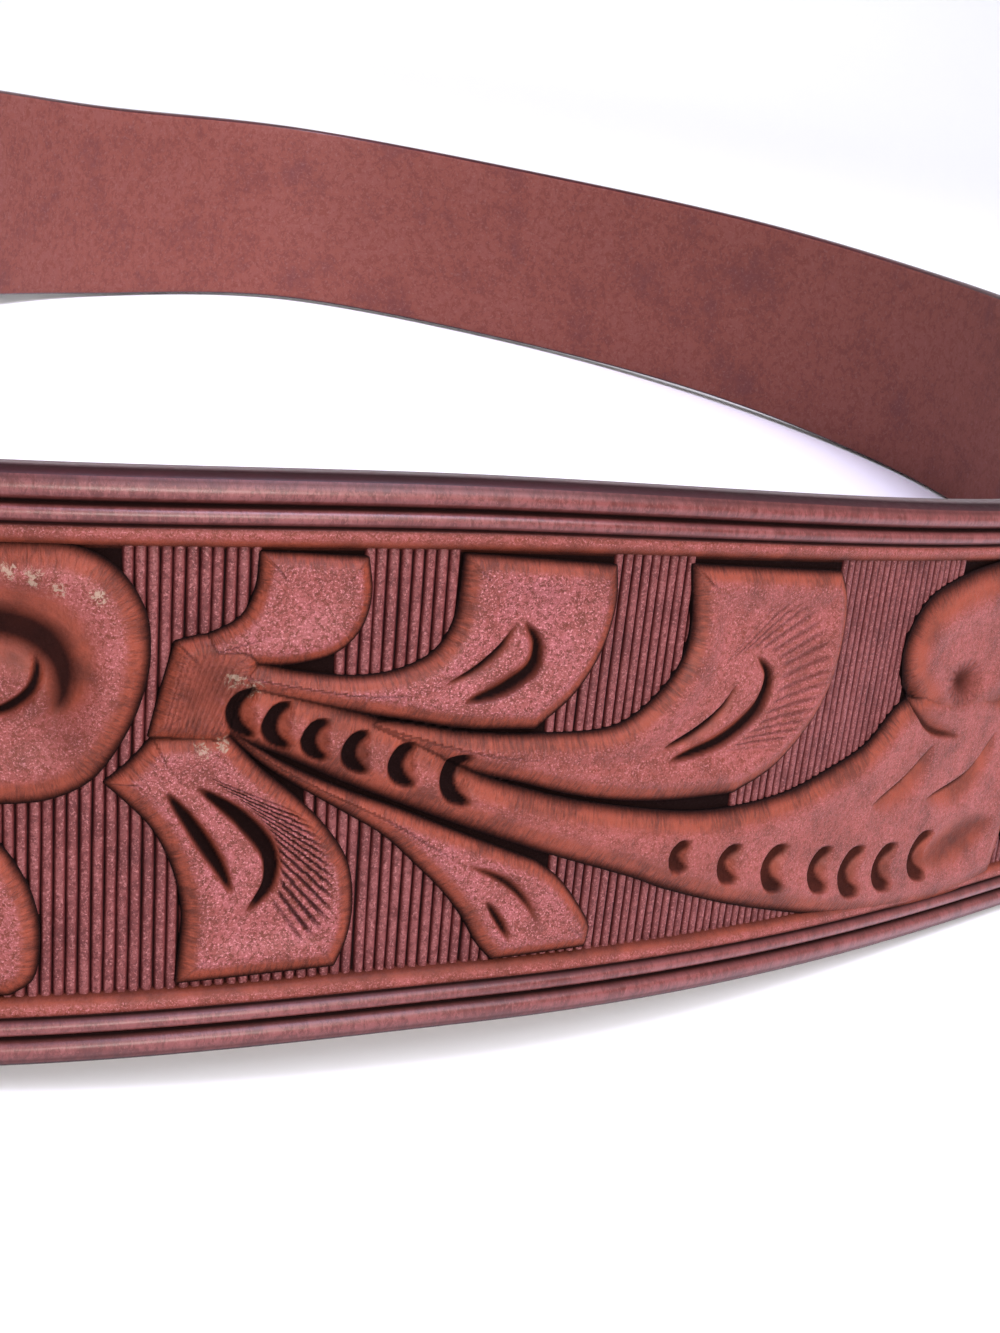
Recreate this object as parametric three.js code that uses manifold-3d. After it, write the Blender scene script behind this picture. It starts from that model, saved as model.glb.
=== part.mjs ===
// Western tooled belt: a floral-carved leather strap fastened into a loop, with buckle, keeper and rivets.
// Millimetres, +Z up. The loop stands on its lower edge, and the tail overlaps the buckle end on the left.
import * as THREE from 'three';
import { mergeVertices } from 'three/addons/utils/BufferGeometryUtils.js';
import Module from 'manifold-3d';

const wasm = await Module();
wasm.setup();

// Driving dimensions of the strap
const waist = 882;
const strapWidth = 38;
const strapThickness = 4;
const foldLength = 52;
const foldThickness = 2;
const foldTaper = 14;
const tailBeyondHoles = 75;
const tipLength = 30;
const holeDiameter = 5.4;
const holePitch = 25.4;
const holeCount = 5;
const prongSlotWidth = 6;
const prongSlotReach = 10;
const slotMargin = 1;
const prongPlay = 1.7;
const clearance = 0.3;
const layerGap = 1.4;
const tailRamp = 50;
const rampPastBar = 4;

// Driving dimensions of the carving
const borderWidth = 5;
const carveDepth = 0.9;
const patternPitch = 100;
const firstFlower = 135;
const leafRoot = 0.3;
const fieldBeforeFlower = 25;
const fieldBeforeNextFlower = 12;
const tipBorderShare = 1.9;

// Driving dimensions of the hardware
const barDiameter = 4;
const frameLength = 28;
const frameArm = 3.6;
const frameThickness = 3.2;
const frameSideGap = 1;
const frameCorner = 7;
const frameBevel = 0.6;
const prongDiameter = 2.8;
const keeperWidth = 12;
const keeperThickness = 2;
const keeperGap = 0.4;
const keeperCorner = 1.5;
const rivetShaft = 4;
const rivetHead = 9;
const rivetHeadThickness = 0.7;
const rivetEndMargin = 7.2;

// Spacing of the sections along the strap and the fold, and the steps of round forms
const stationStep = 13.5;
const loopSteps = 40;
const foldSteps = 6;
const barSides = 12;
const prongSides = 8;

// The loop in plan, anticlockwise from the heel bar, one row for each 1/16 of the way round.
// x and y are shares of the waist, lift is a share of the strap width, rise a share of the drop under the
// buckle, and lean is the strap's tilt in degrees, outward at the top where positive.
const loopRows = [
  { x: -0.121, y: 0.015, lift: 0, rise: 1, lean: 0 },
  { x: -0.124, y: -0.047, lift: 0, rise: 0.75, lean: 0 },
  { x: -0.118, y: -0.109, lift: 0, rise: 0.25, lean: -2 },
  { x: -0.092, y: -0.166, lift: 0, rise: 0, lean: -4 },
  { x: -0.033, y: -0.185, lift: 0.01, rise: 0, lean: -8 },
  { x: 0.024, y: -0.166, lift: 0.08, rise: 0, lean: -9 },
  { x: 0.07, y: -0.124, lift: 0.01, rise: 0, lean: -6 },
  { x: 0.109, y: -0.076, lift: 0, rise: 0, lean: -3 },
  { x: 0.124, y: -0.016, lift: 0, rise: 0, lean: -1 },
  { x: 0.117, y: 0.046, lift: 0, rise: 0, lean: 0 },
  { x: 0.099, y: 0.105, lift: 0, rise: 0, lean: 0 },
  { x: 0.059, y: 0.153, lift: 0.02, rise: 0, lean: 0 },
  { x: 0.005, y: 0.183, lift: 0.01, rise: 0, lean: 0 },
  { x: -0.057, y: 0.185, lift: 0.01, rise: 0, lean: 0 },
  { x: -0.096, y: 0.136, lift: 0, rise: 0.1, lean: 0 },
  { x: -0.113, y: 0.076, lift: 0, rise: 0.75, lean: 0 },
];

// The rounded edge: inset is a share of the thickness, height a share of half the thickness.
const edgeRows = [
  { inset: 0.16, height: -1 },
  { inset: 0, height: -0.35 },
  { inset: 0.04, height: 0.45 },
];

// The border from the edge inward: in is a share of the border width, drop a share of the carving depth.
const borderRows = [
  { in: 0.28, drop: 0 },
  { in: 0.46, drop: 0.6 },
  { in: 0.62, drop: 0.05 },
  { in: 0.76, drop: 0.5 },
  { in: 0.98, drop: 0.45 },
  { in: 1.06, drop: 1 },
];

// The tail's point: back is a share of the tip length, half a share of half the strap width.
const tipRows = [
  { back: 1, half: 1 },
  { back: 0.75, half: 0.97 },
  { back: 0.52, half: 0.86 },
  { back: 0.32, half: 0.69 },
  { back: 0.15, half: 0.47 },
  { back: 0.04, half: 0.25 },
  { back: 0, half: 0.1 },
];

// Carved leaves and petals after each flower centre, from root to end. along is a share of the pattern
// pitch past the flower's centre, across and half are shares of the strap width.
const leafTables = {
  stem: [
    { along: 0.195, across: 0.64, half: 0.045 },
    { along: 0.26, across: 0.565, half: 0.062 },
    { along: 0.37, across: 0.445, half: 0.06 },
    { along: 0.5, across: 0.335, half: 0.065 },
    { along: 0.65, across: 0.275, half: 0.115 },
    { along: 0.75, across: 0.285, half: 0.155 },
    { along: 0.84, across: 0.37, half: 0.16 },
  ],
  upper_small: [
    { along: 0.205, across: 0.68, half: 0.028 },
    { along: 0.24, across: 0.725, half: 0.04 },
    { along: 0.268, across: 0.775, half: 0.078 },
    { along: 0.277, across: 0.862, half: 0.09 },
  ],
  upper_middle: [
    { along: 0.21, across: 0.65, half: 0.028 },
    { along: 0.32, across: 0.625, half: 0.044 },
    { along: 0.39, across: 0.655, half: 0.09 },
    { along: 0.42, across: 0.74, half: 0.128 },
    { along: 0.426, across: 0.858, half: 0.134 },
  ],
  upper_large: [
    { along: 0.4, across: 0.51, half: 0.04 },
    { along: 0.52, across: 0.49, half: 0.078 },
    { along: 0.59, across: 0.555, half: 0.14 },
    { along: 0.622, across: 0.68, half: 0.205 },
    { along: 0.62, across: 0.852, half: 0.205 },
  ],
  lower_large: [
    { along: 0.19, across: 0.55, half: 0.03 },
    { along: 0.22, across: 0.43, half: 0.095 },
    { along: 0.25, across: 0.31, half: 0.14 },
    { along: 0.254, across: 0.14, half: 0.135 },
  ],
  lower_slim: [
    { along: 0.31, across: 0.44, half: 0.02 },
    { along: 0.385, across: 0.325, half: 0.05 },
    { along: 0.43, across: 0.225, half: 0.088 },
    { along: 0.451, across: 0.138, half: 0.105 },
  ],
  petal_upper_right: [
    { along: 0, across: 0.54, half: 0.08 },
    { along: 0.105, across: 0.685, half: 0.2 },
    { along: 0.175, across: 0.715, half: 0.09 },
  ],
  petal_lower_right: [
    { along: 0.02, across: 0.44, half: 0.07 },
    { along: 0.075, across: 0.29, half: 0.125 },
    { along: 0.11, across: 0.225, half: 0.08 },
  ],
  petal_upper_left: [
    { along: -0.01, across: 0.56, half: 0.09 },
    { along: -0.11, across: 0.64, half: 0.16 },
    { along: -0.175, across: 0.665, half: 0.07 },
  ],
  petal_bottom: [
    { along: -0.01, across: 0.48, half: 0.09 },
    { along: -0.03, across: 0.24, half: 0.16 },
    { along: -0.04, across: 0.14, half: 0.13 },
  ],
};

// A leaf's section: side is a share of the half width, rise a share of the carving depth over the field.
const leafSection = [
  { side: -1, rise: -1 },
  { side: 1, rise: -1 },
  { side: 0.62, rise: 1 },
  { side: -0.62, rise: 1 },
];

// Places that follow from the sizes
const barRadius = barDiameter / 2;
const foldOuter = barRadius + clearance + foldThickness;
const barDepth = strapThickness / 2 - foldOuter;
const foldDepth = -strapThickness / 2 - clearance - foldThickness / 2;
const tailDepth = strapThickness + layerGap;
const buckleDrop = frameSideGap + frameArm;
const holeOffset = -(barRadius + prongDiameter / 2 + prongPlay);
const tailLength = ((holeCount - 1) / 2) * holePitch + tailBeyondHoles;
const fieldHeight = strapThickness / 2 - carveDepth;
const middle = strapWidth / 2;
const firstRivet = foldTaper + rivetHead / 2 + clearance;
const lastRivet = foldLength - rivetEndMargin;
const rivetCentres = [firstRivet, lastRivet];
const keeperCentre = (firstRivet + lastRivet) / 2;
const firstHole = waist + holeOffset - ((holeCount - 1) / 2) * holePitch;
const flowerCount = Math.round((firstHole - firstFlower) / patternPitch);
const tooledStart = firstFlower - fieldBeforeFlower;
const tooledEnd = firstFlower + flowerCount * patternPitch - fieldBeforeNextFlower;

function smoothstep(x) {
  const c = Math.min(1, Math.max(0, x));
  return c * c * (3 - 2 * c);
}

// Uniform Catmull-Rom value of four neighbouring numbers
function spline(a, b, c, d, u) {
  const slope = c - a + (2 * a - 5 * b + 4 * c - d + (3 * (b - c) + d - a) * u) * u;
  return b + 0.5 * slope * u;
}

// Points, lifts and leans all round the loop, with the length so far
function sampleLoop() {
  const count = loopRows.length;
  const value = (key, i, u) => {
    const at = (k) => loopRows[(i + k + count) % count][key];
    return spline(at(-1), at(0), at(1), at(2), u);
  };
  const samples = [];
  for (let i = 0; i < count; i += 1) {
    for (let k = 0; k < loopSteps; k += 1) {
      const u = k / loopSteps;
      const height = value('lift', i, u) * strapWidth + value('rise', i, u) * buckleDrop;
      samples.push({
        point: new THREE.Vector3(value('x', i, u), value('y', i, u), height),
        lean: THREE.MathUtils.degToRad(value('lean', i, u)),
      });
    }
  }
  const total = samples.length;
  const flat = (a, b) => Math.hypot(a.point.x - b.point.x, a.point.y - b.point.y);
  const shares = samples.reduce((sum, p, i) => sum + flat(p, samples[(i + 1) % total]), 0);
  for (const sample of samples) {
    sample.point.x *= waist / shares;
    sample.point.y *= waist / shares;
  }
  let travelled = 0;
  for (let i = 0; i < total; i += 1) {
    samples[i].along = travelled;
    travelled += flat(samples[i], samples[(i + 1) % total]);
  }
  return samples;
}

// The strap's own axes at each sample: along the loop, up across the strap, and outward from the loop
function addAxes(samples) {
  const total = samples.length;
  samples.forEach((sample, i) => {
    const next = samples[(i + 1) % total].point;
    const last = samples[(i - 1 + total) % total].point;
    const along = next.clone().sub(last).normalize();
    const outward = new THREE.Vector3(along.y, -along.x, 0).normalize();
    const up = outward.clone().cross(along).normalize();
    const cos = Math.cos(sample.lean);
    const sin = Math.sin(sample.lean);
    sample.axes = {
      along,
      up: up.clone().multiplyScalar(cos).addScaledVector(outward, sin),
      out: outward.clone().multiplyScalar(cos).addScaledVector(up, -sin),
    };
  });
  return samples;
}

const loop = addAxes(sampleLoop());

// Where the loop is at a length s from the heel bar, between two samples
function frameAt(s) {
  const wrapped = ((s % waist) + waist) % waist;
  let low = 0;
  let high = loop.length;
  while (high - low > 1) {
    const half = (low + high) >> 1;
    if (loop[half].along <= wrapped) low = half;
    else high = half;
  }
  const a = loop[low];
  const b = loop[(low + 1) % loop.length];
  const end = low + 1 === loop.length ? waist : b.along;
  const u = (wrapped - a.along) / (end - a.along);
  const mix = (p, q) => p.clone().lerp(q, u);
  return {
    point: mix(a.point, b.point),
    along: mix(a.axes.along, b.axes.along),
    up: mix(a.axes.up, b.axes.up),
    out: mix(a.axes.out, b.axes.out),
  };
}

// A flat point is (length along the strap, height across it, depth outward from its middle).
function bend(flat) {
  const at = frameAt(flat.x);
  return at.point.addScaledVector(at.up, flat.y).addScaledVector(at.out, flat.z);
}

// Rigid hardware keeps its straight form in the strap's axes at the heel bar.
function setRigid(flat) {
  const at = frameAt(0);
  at.point.addScaledVector(at.along, flat.x);
  return at.point.addScaledVector(at.up, flat.y).addScaledVector(at.out, flat.z);
}

function mapVertices(geometry, map) {
  const place = geometry.getAttribute('position');
  const point = new THREE.Vector3();
  for (let i = 0; i < place.count; i += 1) {
    const moved = map(point.fromBufferAttribute(place, i));
    place.setXYZ(i, moved.x, moved.y, moved.z);
  }
  return geometry;
}

function solidOf(geometry) {
  const bare = geometry.clone();
  bare.deleteAttribute('normal');
  bare.deleteAttribute('uv');
  const merged = mergeVertices(bare, 1e-4);
  const mesh = new wasm.Mesh({
    numProp: 3,
    vertProperties: new Float32Array(merged.getAttribute('position').array),
    triVerts: new Uint32Array(merged.index.array),
  });
  return new wasm.Manifold(mesh);
}

function geometryOf(solid) {
  const mesh = solid.getMesh();
  const geometry = new THREE.BufferGeometry();
  geometry.setAttribute('position', new THREE.BufferAttribute(new Float32Array(mesh.vertProperties), 3));
  geometry.setIndex(new THREE.BufferAttribute(new Uint32Array(mesh.triVerts), 1));
  return geometry;
}

// A closed body through rings of equal count, each anticlockwise as seen from further along
function loft(rings, outline) {
  const count = outline.length;
  const positions = rings.flat().flatMap((p) => [p.x, p.y, p.z]);
  const faces = [];
  for (let i = 0; i + 1 < rings.length; i += 1) {
    for (let j = 0; j < count; j += 1) {
      const a = i * count + j;
      const b = i * count + ((j + 1) % count);
      faces.push(a, b, b + count, a, b + count, a + count);
    }
  }
  const lastRing = (rings.length - 1) * count;
  for (const [a, b, c] of THREE.ShapeUtils.triangulateShape(outline, [])) {
    faces.push(a, c, b, lastRing + a, lastRing + b, lastRing + c);
  }
  const geometry = new THREE.BufferGeometry();
  geometry.setAttribute('position', new THREE.Float32BufferAttribute(positions, 3));
  geometry.setIndex(faces);
  return geometry;
}

// A round bar between two points
function rod(radius, from, to, sides) {
  const length = from.distanceTo(to);
  const geometry = new THREE.CylinderGeometry(radius, radius, length, sides);
  const turn = new THREE.Quaternion();
  turn.setFromUnitVectors(new THREE.Vector3(0, 1, 0), to.clone().sub(from).normalize());
  geometry.applyQuaternion(turn);
  const centre = from.clone().add(to).multiplyScalar(0.5);
  return geometry.translate(centre.x, centre.y, centre.z);
}

// Outward offset of the strap's middle from the loop line near and past the heel bar
function tailOffset(past) {
  return tailDepth * smoothstep((past + tailRamp) / (tailRamp + rampPastBar));
}

// How the strap's middle runs: folded end, bend round the heel bar, loop, tail
function strapStations() {
  const stations = [];
  const foldMiddle = barDepth - foldOuter + foldThickness / 2;
  for (const share of [1, 0.75, 0.5, 0.25]) {
    const s = THREE.MathUtils.lerp(foldTaper, foldLength, share);
    stations.push({ s, n: foldDepth, heading: 180, thickness: foldThickness, border: 0, field: 0 });
  }
  for (const share of [1, 0.75, 0.5, 0.25]) {
    const n = THREE.MathUtils.lerp(foldMiddle, foldDepth, smoothstep(share));
    stations.push({ s: foldTaper * share, n, heading: 180, thickness: foldThickness, border: 0, field: 0 });
  }
  const bendRadius = barRadius + clearance + foldThickness / 2;
  for (let k = 0; k <= foldSteps; k += 1) {
    const heading = 180 - (180 * k) / foldSteps;
    const angle = THREE.MathUtils.degToRad(heading);
    stations.push({
      s: -bendRadius * Math.sin(angle),
      n: barDepth + bendRadius * Math.cos(angle),
      heading,
      thickness: foldThickness,
      border: 0,
      field: 0,
    });
  }
  for (const share of [0.25, 0.5, 0.75, 1]) {
    const thickness = THREE.MathUtils.lerp(foldThickness, strapThickness, smoothstep(share));
    const n = (strapThickness - thickness) / 2;
    stations.push({ s: foldTaper * share, n, heading: 0, thickness, border: 0, field: 0 });
  }
  const end = waist + tailLength - tipLength;
  const steps = Math.round((end - foldTaper) / stationStep);
  for (let k = 1; k <= steps; k += 1) {
    const s = foldTaper + ((end - foldTaper) * k) / steps;
    const entering = smoothstep((s - tooledStart) / stationStep);
    const leaving = smoothstep((tooledEnd - s) / stationStep);
    stations.push({
      s,
      n: tailOffset(s - waist),
      heading: 0,
      thickness: strapThickness,
      border: smoothstep((s - foldLength) / stationStep),
      field: Math.min(entering, leaving),
    });
  }
  for (const row of tipRows.slice(1)) {
    const s = end + tipLength * (1 - row.back);
    stations.push({
      s,
      n: tailOffset(s - waist),
      heading: 0,
      thickness: strapThickness,
      border: 1,
      field: 0,
      half: row.half,
    });
  }
  return stations;
}

// The strap's section at a station: flesh side, rounded edges, border beads and lowered field
function strapSection({ thickness, border, field, half = 1 }) {
  const halfWidth = middle * half;
  const narrow = Math.min(1, (halfWidth * tipBorderShare) / middle);
  const edge = edgeRows.map((row) => [row.inset * thickness * narrow, (row.height * thickness) / 2]);
  const depths = borderRows.map((row, i) => {
    const inner = i === borderRows.length - 1;
    return row.drop * carveDepth * (inner ? Math.max(field, 0) : border);
  });
  const beads = borderRows.map((row, i) => [row.in * borderWidth * narrow, thickness / 2 - depths[i]]);
  const profile = [...edge, ...beads];
  const left = profile.map(([inset, depth]) => new THREE.Vector2(middle - halfWidth + inset, depth));
  const right = profile.map(([inset, depth]) => new THREE.Vector2(middle + halfWidth - inset, depth));
  return [left[0], ...right, ...left.slice(1).reverse()];
}

function strapBlank() {
  const stations = strapStations();
  const rings = stations.map((station) => {
    const angle = THREE.MathUtils.degToRad(station.heading);
    return strapSection(station).map(
      ({ x: across, y: depth }) =>
        new THREE.Vector3(station.s - depth * Math.sin(angle), across, station.n + depth * Math.cos(angle)),
    );
  });
  return loft(rings, strapSection({ thickness: strapThickness, border: 0, field: 0 }));
}

// One leaf, from its table, standing in the lowered field
function leaf(rows, start) {
  const spine = rows.map((row) => new THREE.Vector2(start + row.along * patternPitch, row.across * strapWidth));
  const rings = rows.map((row, i) => {
    const ahead = spine[Math.min(i + 1, rows.length - 1)];
    const behind = spine[Math.max(i - 1, 0)];
    const way = ahead.clone().sub(behind).normalize();
    const side = new THREE.Vector2(-way.y, way.x).multiplyScalar(row.half * strapWidth);
    return leafSection.map(({ side: share, rise }) => {
      const depth = rise < 0 ? fieldHeight - leafRoot : fieldHeight + rise * carveDepth;
      return new THREE.Vector3(spine[i].x + side.x * share, spine[i].y + side.y * share, depth);
    });
  });
  return loft(rings, leafSection.map(({ side, rise }) => new THREE.Vector2(side, rise)));
}

// Punched holes in the tail, the prong slot over the fold, and the rivet holes through both layers
function strapCutters() {
  const cutters = [];
  const reach = strapThickness + tailDepth;
  for (let k = 0; k < holeCount; k += 1) {
    const s = firstHole + k * holePitch;
    const from = new THREE.Vector3(s, middle, -reach);
    const to = new THREE.Vector3(s, middle, tailDepth + reach);
    cutters.push(rod(holeDiameter / 2, from, to, barSides));
  }
  for (const s of rivetCentres) {
    const from = new THREE.Vector3(s, middle, -reach);
    const to = new THREE.Vector3(s, middle, strapThickness);
    cutters.push(rod(rivetShaft / 2 + clearance, from, to, barSides));
  }
  const slotBehind = foldOuter + slotMargin;
  const slotLength = slotBehind + prongSlotReach / 2;
  const slot = new THREE.BoxGeometry(slotLength, prongSlotWidth, slotBehind + slotBehind);
  cutters.push(slot.translate(slotLength / 2 - slotBehind, middle, barDepth));
  return cutters;
}

function makeStrap() {
  let solid = solidOf(mapVertices(strapBlank(), bend));
  for (let k = 0; k < flowerCount; k += 1) {
    const start = firstFlower + k * patternPitch;
    for (const rows of Object.values(leafTables)) {
      solid = solid.add(solidOf(mapVertices(leaf(rows, start), bend)));
    }
  }
  for (const cutter of strapCutters()) {
    solid = solid.subtract(solidOf(mapVertices(cutter, bend)));
  }
  return geometryOf(solid);
}

// The buckle's frame: three sides of a rounded plate, tilted so that its outer bar clears the tail,
// with a round heel bar through the fold and a prong from the bar through the middle hole
function makeBuckle() {
  const outerDepth = tailOffset(-frameLength) + strapThickness / 2 + clearance + frameThickness / 2;
  const tilt = Math.atan2(outerDepth - barDepth, frameLength);
  const low = -frameSideGap - frameArm;
  const high = strapWidth + frameSideGap + frameArm;
  const end = frameLength / Math.cos(tilt) + frameArm / 2;
  const flatBevel = frameArm - 2 * frameBevel;
  const plate = new THREE.Shape();
  const inset = frameBevel;
  const corner = frameCorner - inset;
  plate.moveTo(-barRadius, low + inset);
  plate.lineTo(end - frameCorner, low + inset);
  plate.absarc(end - frameCorner, low + frameCorner, corner, -Math.PI / 2, 0, false);
  plate.lineTo(end - inset, high - frameCorner);
  plate.absarc(end - frameCorner, high - frameCorner, corner, 0, Math.PI / 2, false);
  plate.lineTo(-barRadius, high - inset);
  plate.lineTo(-barRadius, high - inset - flatBevel);
  const innerCorner = frameCorner - frameArm + inset;
  plate.lineTo(end - frameCorner, high - inset - flatBevel);
  plate.absarc(end - frameCorner, high - frameCorner, innerCorner, Math.PI / 2, 0, true);
  plate.lineTo(end - frameArm + inset, low + frameCorner);
  plate.absarc(end - frameCorner, low + frameCorner, innerCorner, 0, -Math.PI / 2, true);
  plate.lineTo(-barRadius, low + inset + flatBevel);
  plate.closePath();
  const frame = new THREE.ExtrudeGeometry(plate, {
    depth: frameThickness - 2 * frameBevel,
    bevelEnabled: true,
    bevelThickness: frameBevel,
    bevelSize: frameBevel,
    bevelSegments: 1,
    curveSegments: 4,
  });
  frame.translate(0, 0, frameBevel - frameThickness / 2);
  mapVertices(frame, (p) => {
    const out = p.x * Math.sin(tilt) + p.z * Math.cos(tilt);
    return new THREE.Vector3(-p.x * Math.cos(tilt) + p.z * Math.sin(tilt), strapWidth - p.y, barDepth + out);
  });
  const bar = rod(
    barRadius,
    new THREE.Vector3(0, low + frameArm / 2, barDepth),
    new THREE.Vector3(0, high - frameArm / 2, barDepth),
    barSides,
  );
  const restDepth = outerDepth + frameThickness / 2 + prongDiameter / 4;
  const tailFace = tailOffset(holeOffset) + strapThickness / 2;
  const prongRows = [
    { along: 0, out: barDepth },
    { along: holeOffset * 0.62, out: barDepth + foldOuter * 0.75 },
    { along: holeOffset * 0.94, out: tailFace - strapThickness / 2 },
    { along: holeOffset * 1.12, out: tailFace + prongDiameter * 0.2 },
    { along: holeOffset * 1.9, out: Math.max(restDepth, tailFace + prongDiameter / 2 + clearance) },
    { along: -frameLength * 0.65, out: restDepth },
    { along: -frameLength - frameArm / 2, out: restDepth },
  ];
  const prongPoints = prongRows.map(({ along, out }) => new THREE.Vector3(along, middle, out));
  const path = new THREE.CatmullRomCurve3(prongPoints);
  const circle = new THREE.Shape();
  circle.absarc(0, 0, prongDiameter / 2, 0, 2 * Math.PI, false);
  const prong = new THREE.ExtrudeGeometry(circle, {
    steps: 12,
    curveSegments: prongSides,
    bevelEnabled: false,
    extrudePath: path,
  });
  const solid = solidOf(mapVertices(frame, setRigid))
    .add(solidOf(mapVertices(bar, setRigid)))
    .add(solidOf(mapVertices(prong, setRigid)));
  return geometryOf(solid);
}

// The keeper: a leather band round the buckle end and the tail
function makeKeeper() {
  const inner = {
    low: -keeperGap,
    high: strapWidth + keeperGap,
    back: foldDepth - foldThickness / 2 - keeperGap,
    front: tailDepth + strapThickness / 2 + keeperGap,
  };
  const trace = (path, grow, radius) => {
    const low = inner.low - grow;
    const high = inner.high + grow;
    const back = inner.back - grow;
    const front = inner.front + grow;
    path.moveTo(low + radius, back);
    path.absarc(high - radius, back + radius, radius, -Math.PI / 2, 0, false);
    path.absarc(high - radius, front - radius, radius, 0, Math.PI / 2, false);
    path.absarc(low + radius, front - radius, radius, Math.PI / 2, Math.PI, false);
    path.absarc(low + radius, back + radius, radius, Math.PI, 1.5 * Math.PI, false);
    return path;
  };
  const band = trace(new THREE.Shape(), keeperThickness, keeperCorner + keeperThickness / 2);
  band.holes.push(trace(new THREE.Path(), 0, keeperGap));
  const geometry = new THREE.ExtrudeGeometry(band, {
    depth: keeperWidth,
    steps: 1,
    curveSegments: 3,
    bevelEnabled: false,
  });
  mapVertices(geometry, (p) => new THREE.Vector3(keeperCentre - keeperWidth / 2 + p.z, p.x, p.y));
  return geometryOf(solidOf(mapVertices(geometry, bend)));
}

// A rivet through the buckle end and its fold: a shaft with a flat head on each side
function makeRivet(centre) {
  const outerFace = strapThickness / 2 + clearance;
  const innerFace = foldDepth - foldThickness / 2 - clearance;
  const at = (depth) => new THREE.Vector3(centre, middle, depth);
  const parts = [
    rod(rivetShaft / 2, at(innerFace - rivetHeadThickness / 2), at(outerFace + rivetHeadThickness / 2), barSides),
    rod(rivetHead / 2, at(outerFace), at(outerFace + rivetHeadThickness), barSides),
    rod(rivetHead / 2, at(innerFace - rivetHeadThickness), at(innerFace), barSides),
  ];
  const solids = parts.map((part) => solidOf(mapVertices(part, bend)));
  return geometryOf(solids[0].add(solids[1]).add(solids[2]));
}

const tooledLeather = new THREE.MeshStandardMaterial({ color: 0x8a4634, roughness: 0.45, metalness: 0 });
const plainLeather = new THREE.MeshStandardMaterial({ color: 0x6e3529, roughness: 0.5, metalness: 0 });
const castSteel = new THREE.MeshStandardMaterial({ color: 0xb4b2ac, roughness: 0.3, metalness: 1 });

const belt = new THREE.Group();

function addPiece(name, geometry, material) {
  const mesh = new THREE.Mesh(geometry, material);
  mesh.name = name;
  belt.add(mesh);
}

addPiece('strap', makeStrap(), tooledLeather);
addPiece('buckle', makeBuckle(), castSteel);
addPiece('keeper', makeKeeper(), plainLeather);
rivetCentres.forEach((centre, i) => addPiece(`rivet_${i + 1}`, makeRivet(centre), castSteel));

// The origin is on the floor under the middle of the whole belt.
const box = new THREE.Box3().setFromObject(belt);
const centre = box.getCenter(new THREE.Vector3());
belt.position.set(-centre.x, -centre.y, -box.min.z);

export default belt;
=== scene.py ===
import math

import bmesh
import bpy
import numpy as np
from mathutils import Matrix, Vector
from mathutils.kdtree import KDTree


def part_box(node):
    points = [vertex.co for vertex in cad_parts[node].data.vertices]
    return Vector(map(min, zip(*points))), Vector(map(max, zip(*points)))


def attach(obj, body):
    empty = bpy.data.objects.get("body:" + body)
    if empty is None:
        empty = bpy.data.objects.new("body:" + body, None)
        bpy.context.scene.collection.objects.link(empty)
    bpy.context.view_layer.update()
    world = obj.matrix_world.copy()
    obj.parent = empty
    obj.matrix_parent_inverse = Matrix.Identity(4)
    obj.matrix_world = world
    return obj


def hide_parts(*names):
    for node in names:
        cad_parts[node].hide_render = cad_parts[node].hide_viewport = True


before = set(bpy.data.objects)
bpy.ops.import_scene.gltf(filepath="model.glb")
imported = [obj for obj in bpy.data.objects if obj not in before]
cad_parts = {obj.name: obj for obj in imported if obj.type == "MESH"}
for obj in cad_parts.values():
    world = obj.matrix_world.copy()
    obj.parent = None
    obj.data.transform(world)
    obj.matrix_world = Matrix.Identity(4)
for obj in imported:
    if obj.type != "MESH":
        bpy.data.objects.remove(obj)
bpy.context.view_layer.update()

# The strap: one length of vegetable-tanned leather, folded round the buckle's heel bar at one end, where two
# rivets hold it, and cut to a point at the other. Its edges are rounded and burnished, two beads are pressed
# along each, and the field between is beaten down for the carving. It stands on edge. Sizes are in mm.
mm = 0.001
waist = 882
strap_width = 38
strap_thickness = 4
half_thickness = strap_thickness / 2
fold_length = 52
fold_thickness = 2
fold_taper = 14
heel_radius = 2
clearance = 0.3
layer_gap = 1.4
tail_ramp = 50
tail_length = 125.8
tip_length = 30
buckle_drop = 4.6
hole_diameter = 5.4
hole_pitch = 25.4
hole_count = 5
hole_offset = -5.1
slot_width = 6
rivet_shaft = 4
rivet_places = (18.8, 44.8)
first_flower = 135
flower_pitch = 100
flower_count = 7
tooled_start = first_flower - 25
tooled_end = first_flower + 688
ground_depth = 1.15
border_run = 12
field_run = 3
station_pitch = 1.3

# The loop in plan, anticlockwise from the heel bar. x and y are shares of the waist, lift is a share of the
# strap's width, rise a share of the drop under the buckle, and lean is in degrees, outward at the top where
# positive.
loop_rows = np.array([
    (-0.121, 0.015, 0, 1, 0), (-0.124, -0.047, 0, 0.75, 0), (-0.118, -0.109, 0, 0.25, -2),
    (-0.092, -0.166, 0, 0, -4), (-0.033, -0.185, 0.01, 0, -8), (0.024, -0.166, 0.08, 0, -9),
    (0.07, -0.124, 0.01, 0, -6), (0.109, -0.076, 0, 0, -3), (0.124, -0.016, 0, 0, -1),
    (0.117, 0.046, 0, 0, 0), (0.099, 0.105, 0, 0, 0), (0.059, 0.153, 0.02, 0, 0),
    (0.005, 0.183, 0.01, 0, 0), (-0.057, 0.185, 0.01, 0, 0), (-0.096, 0.136, 0, 0.1, 0),
    (-0.113, 0.076, 0, 0.75, 0),
], dtype=[("x", float), ("y", float), ("lift", float), ("rise", float), ("lean", float)])


def smoothstep(x):
    c = np.clip(x, 0, 1)
    return c * c * (3 - 2 * c)


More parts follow.
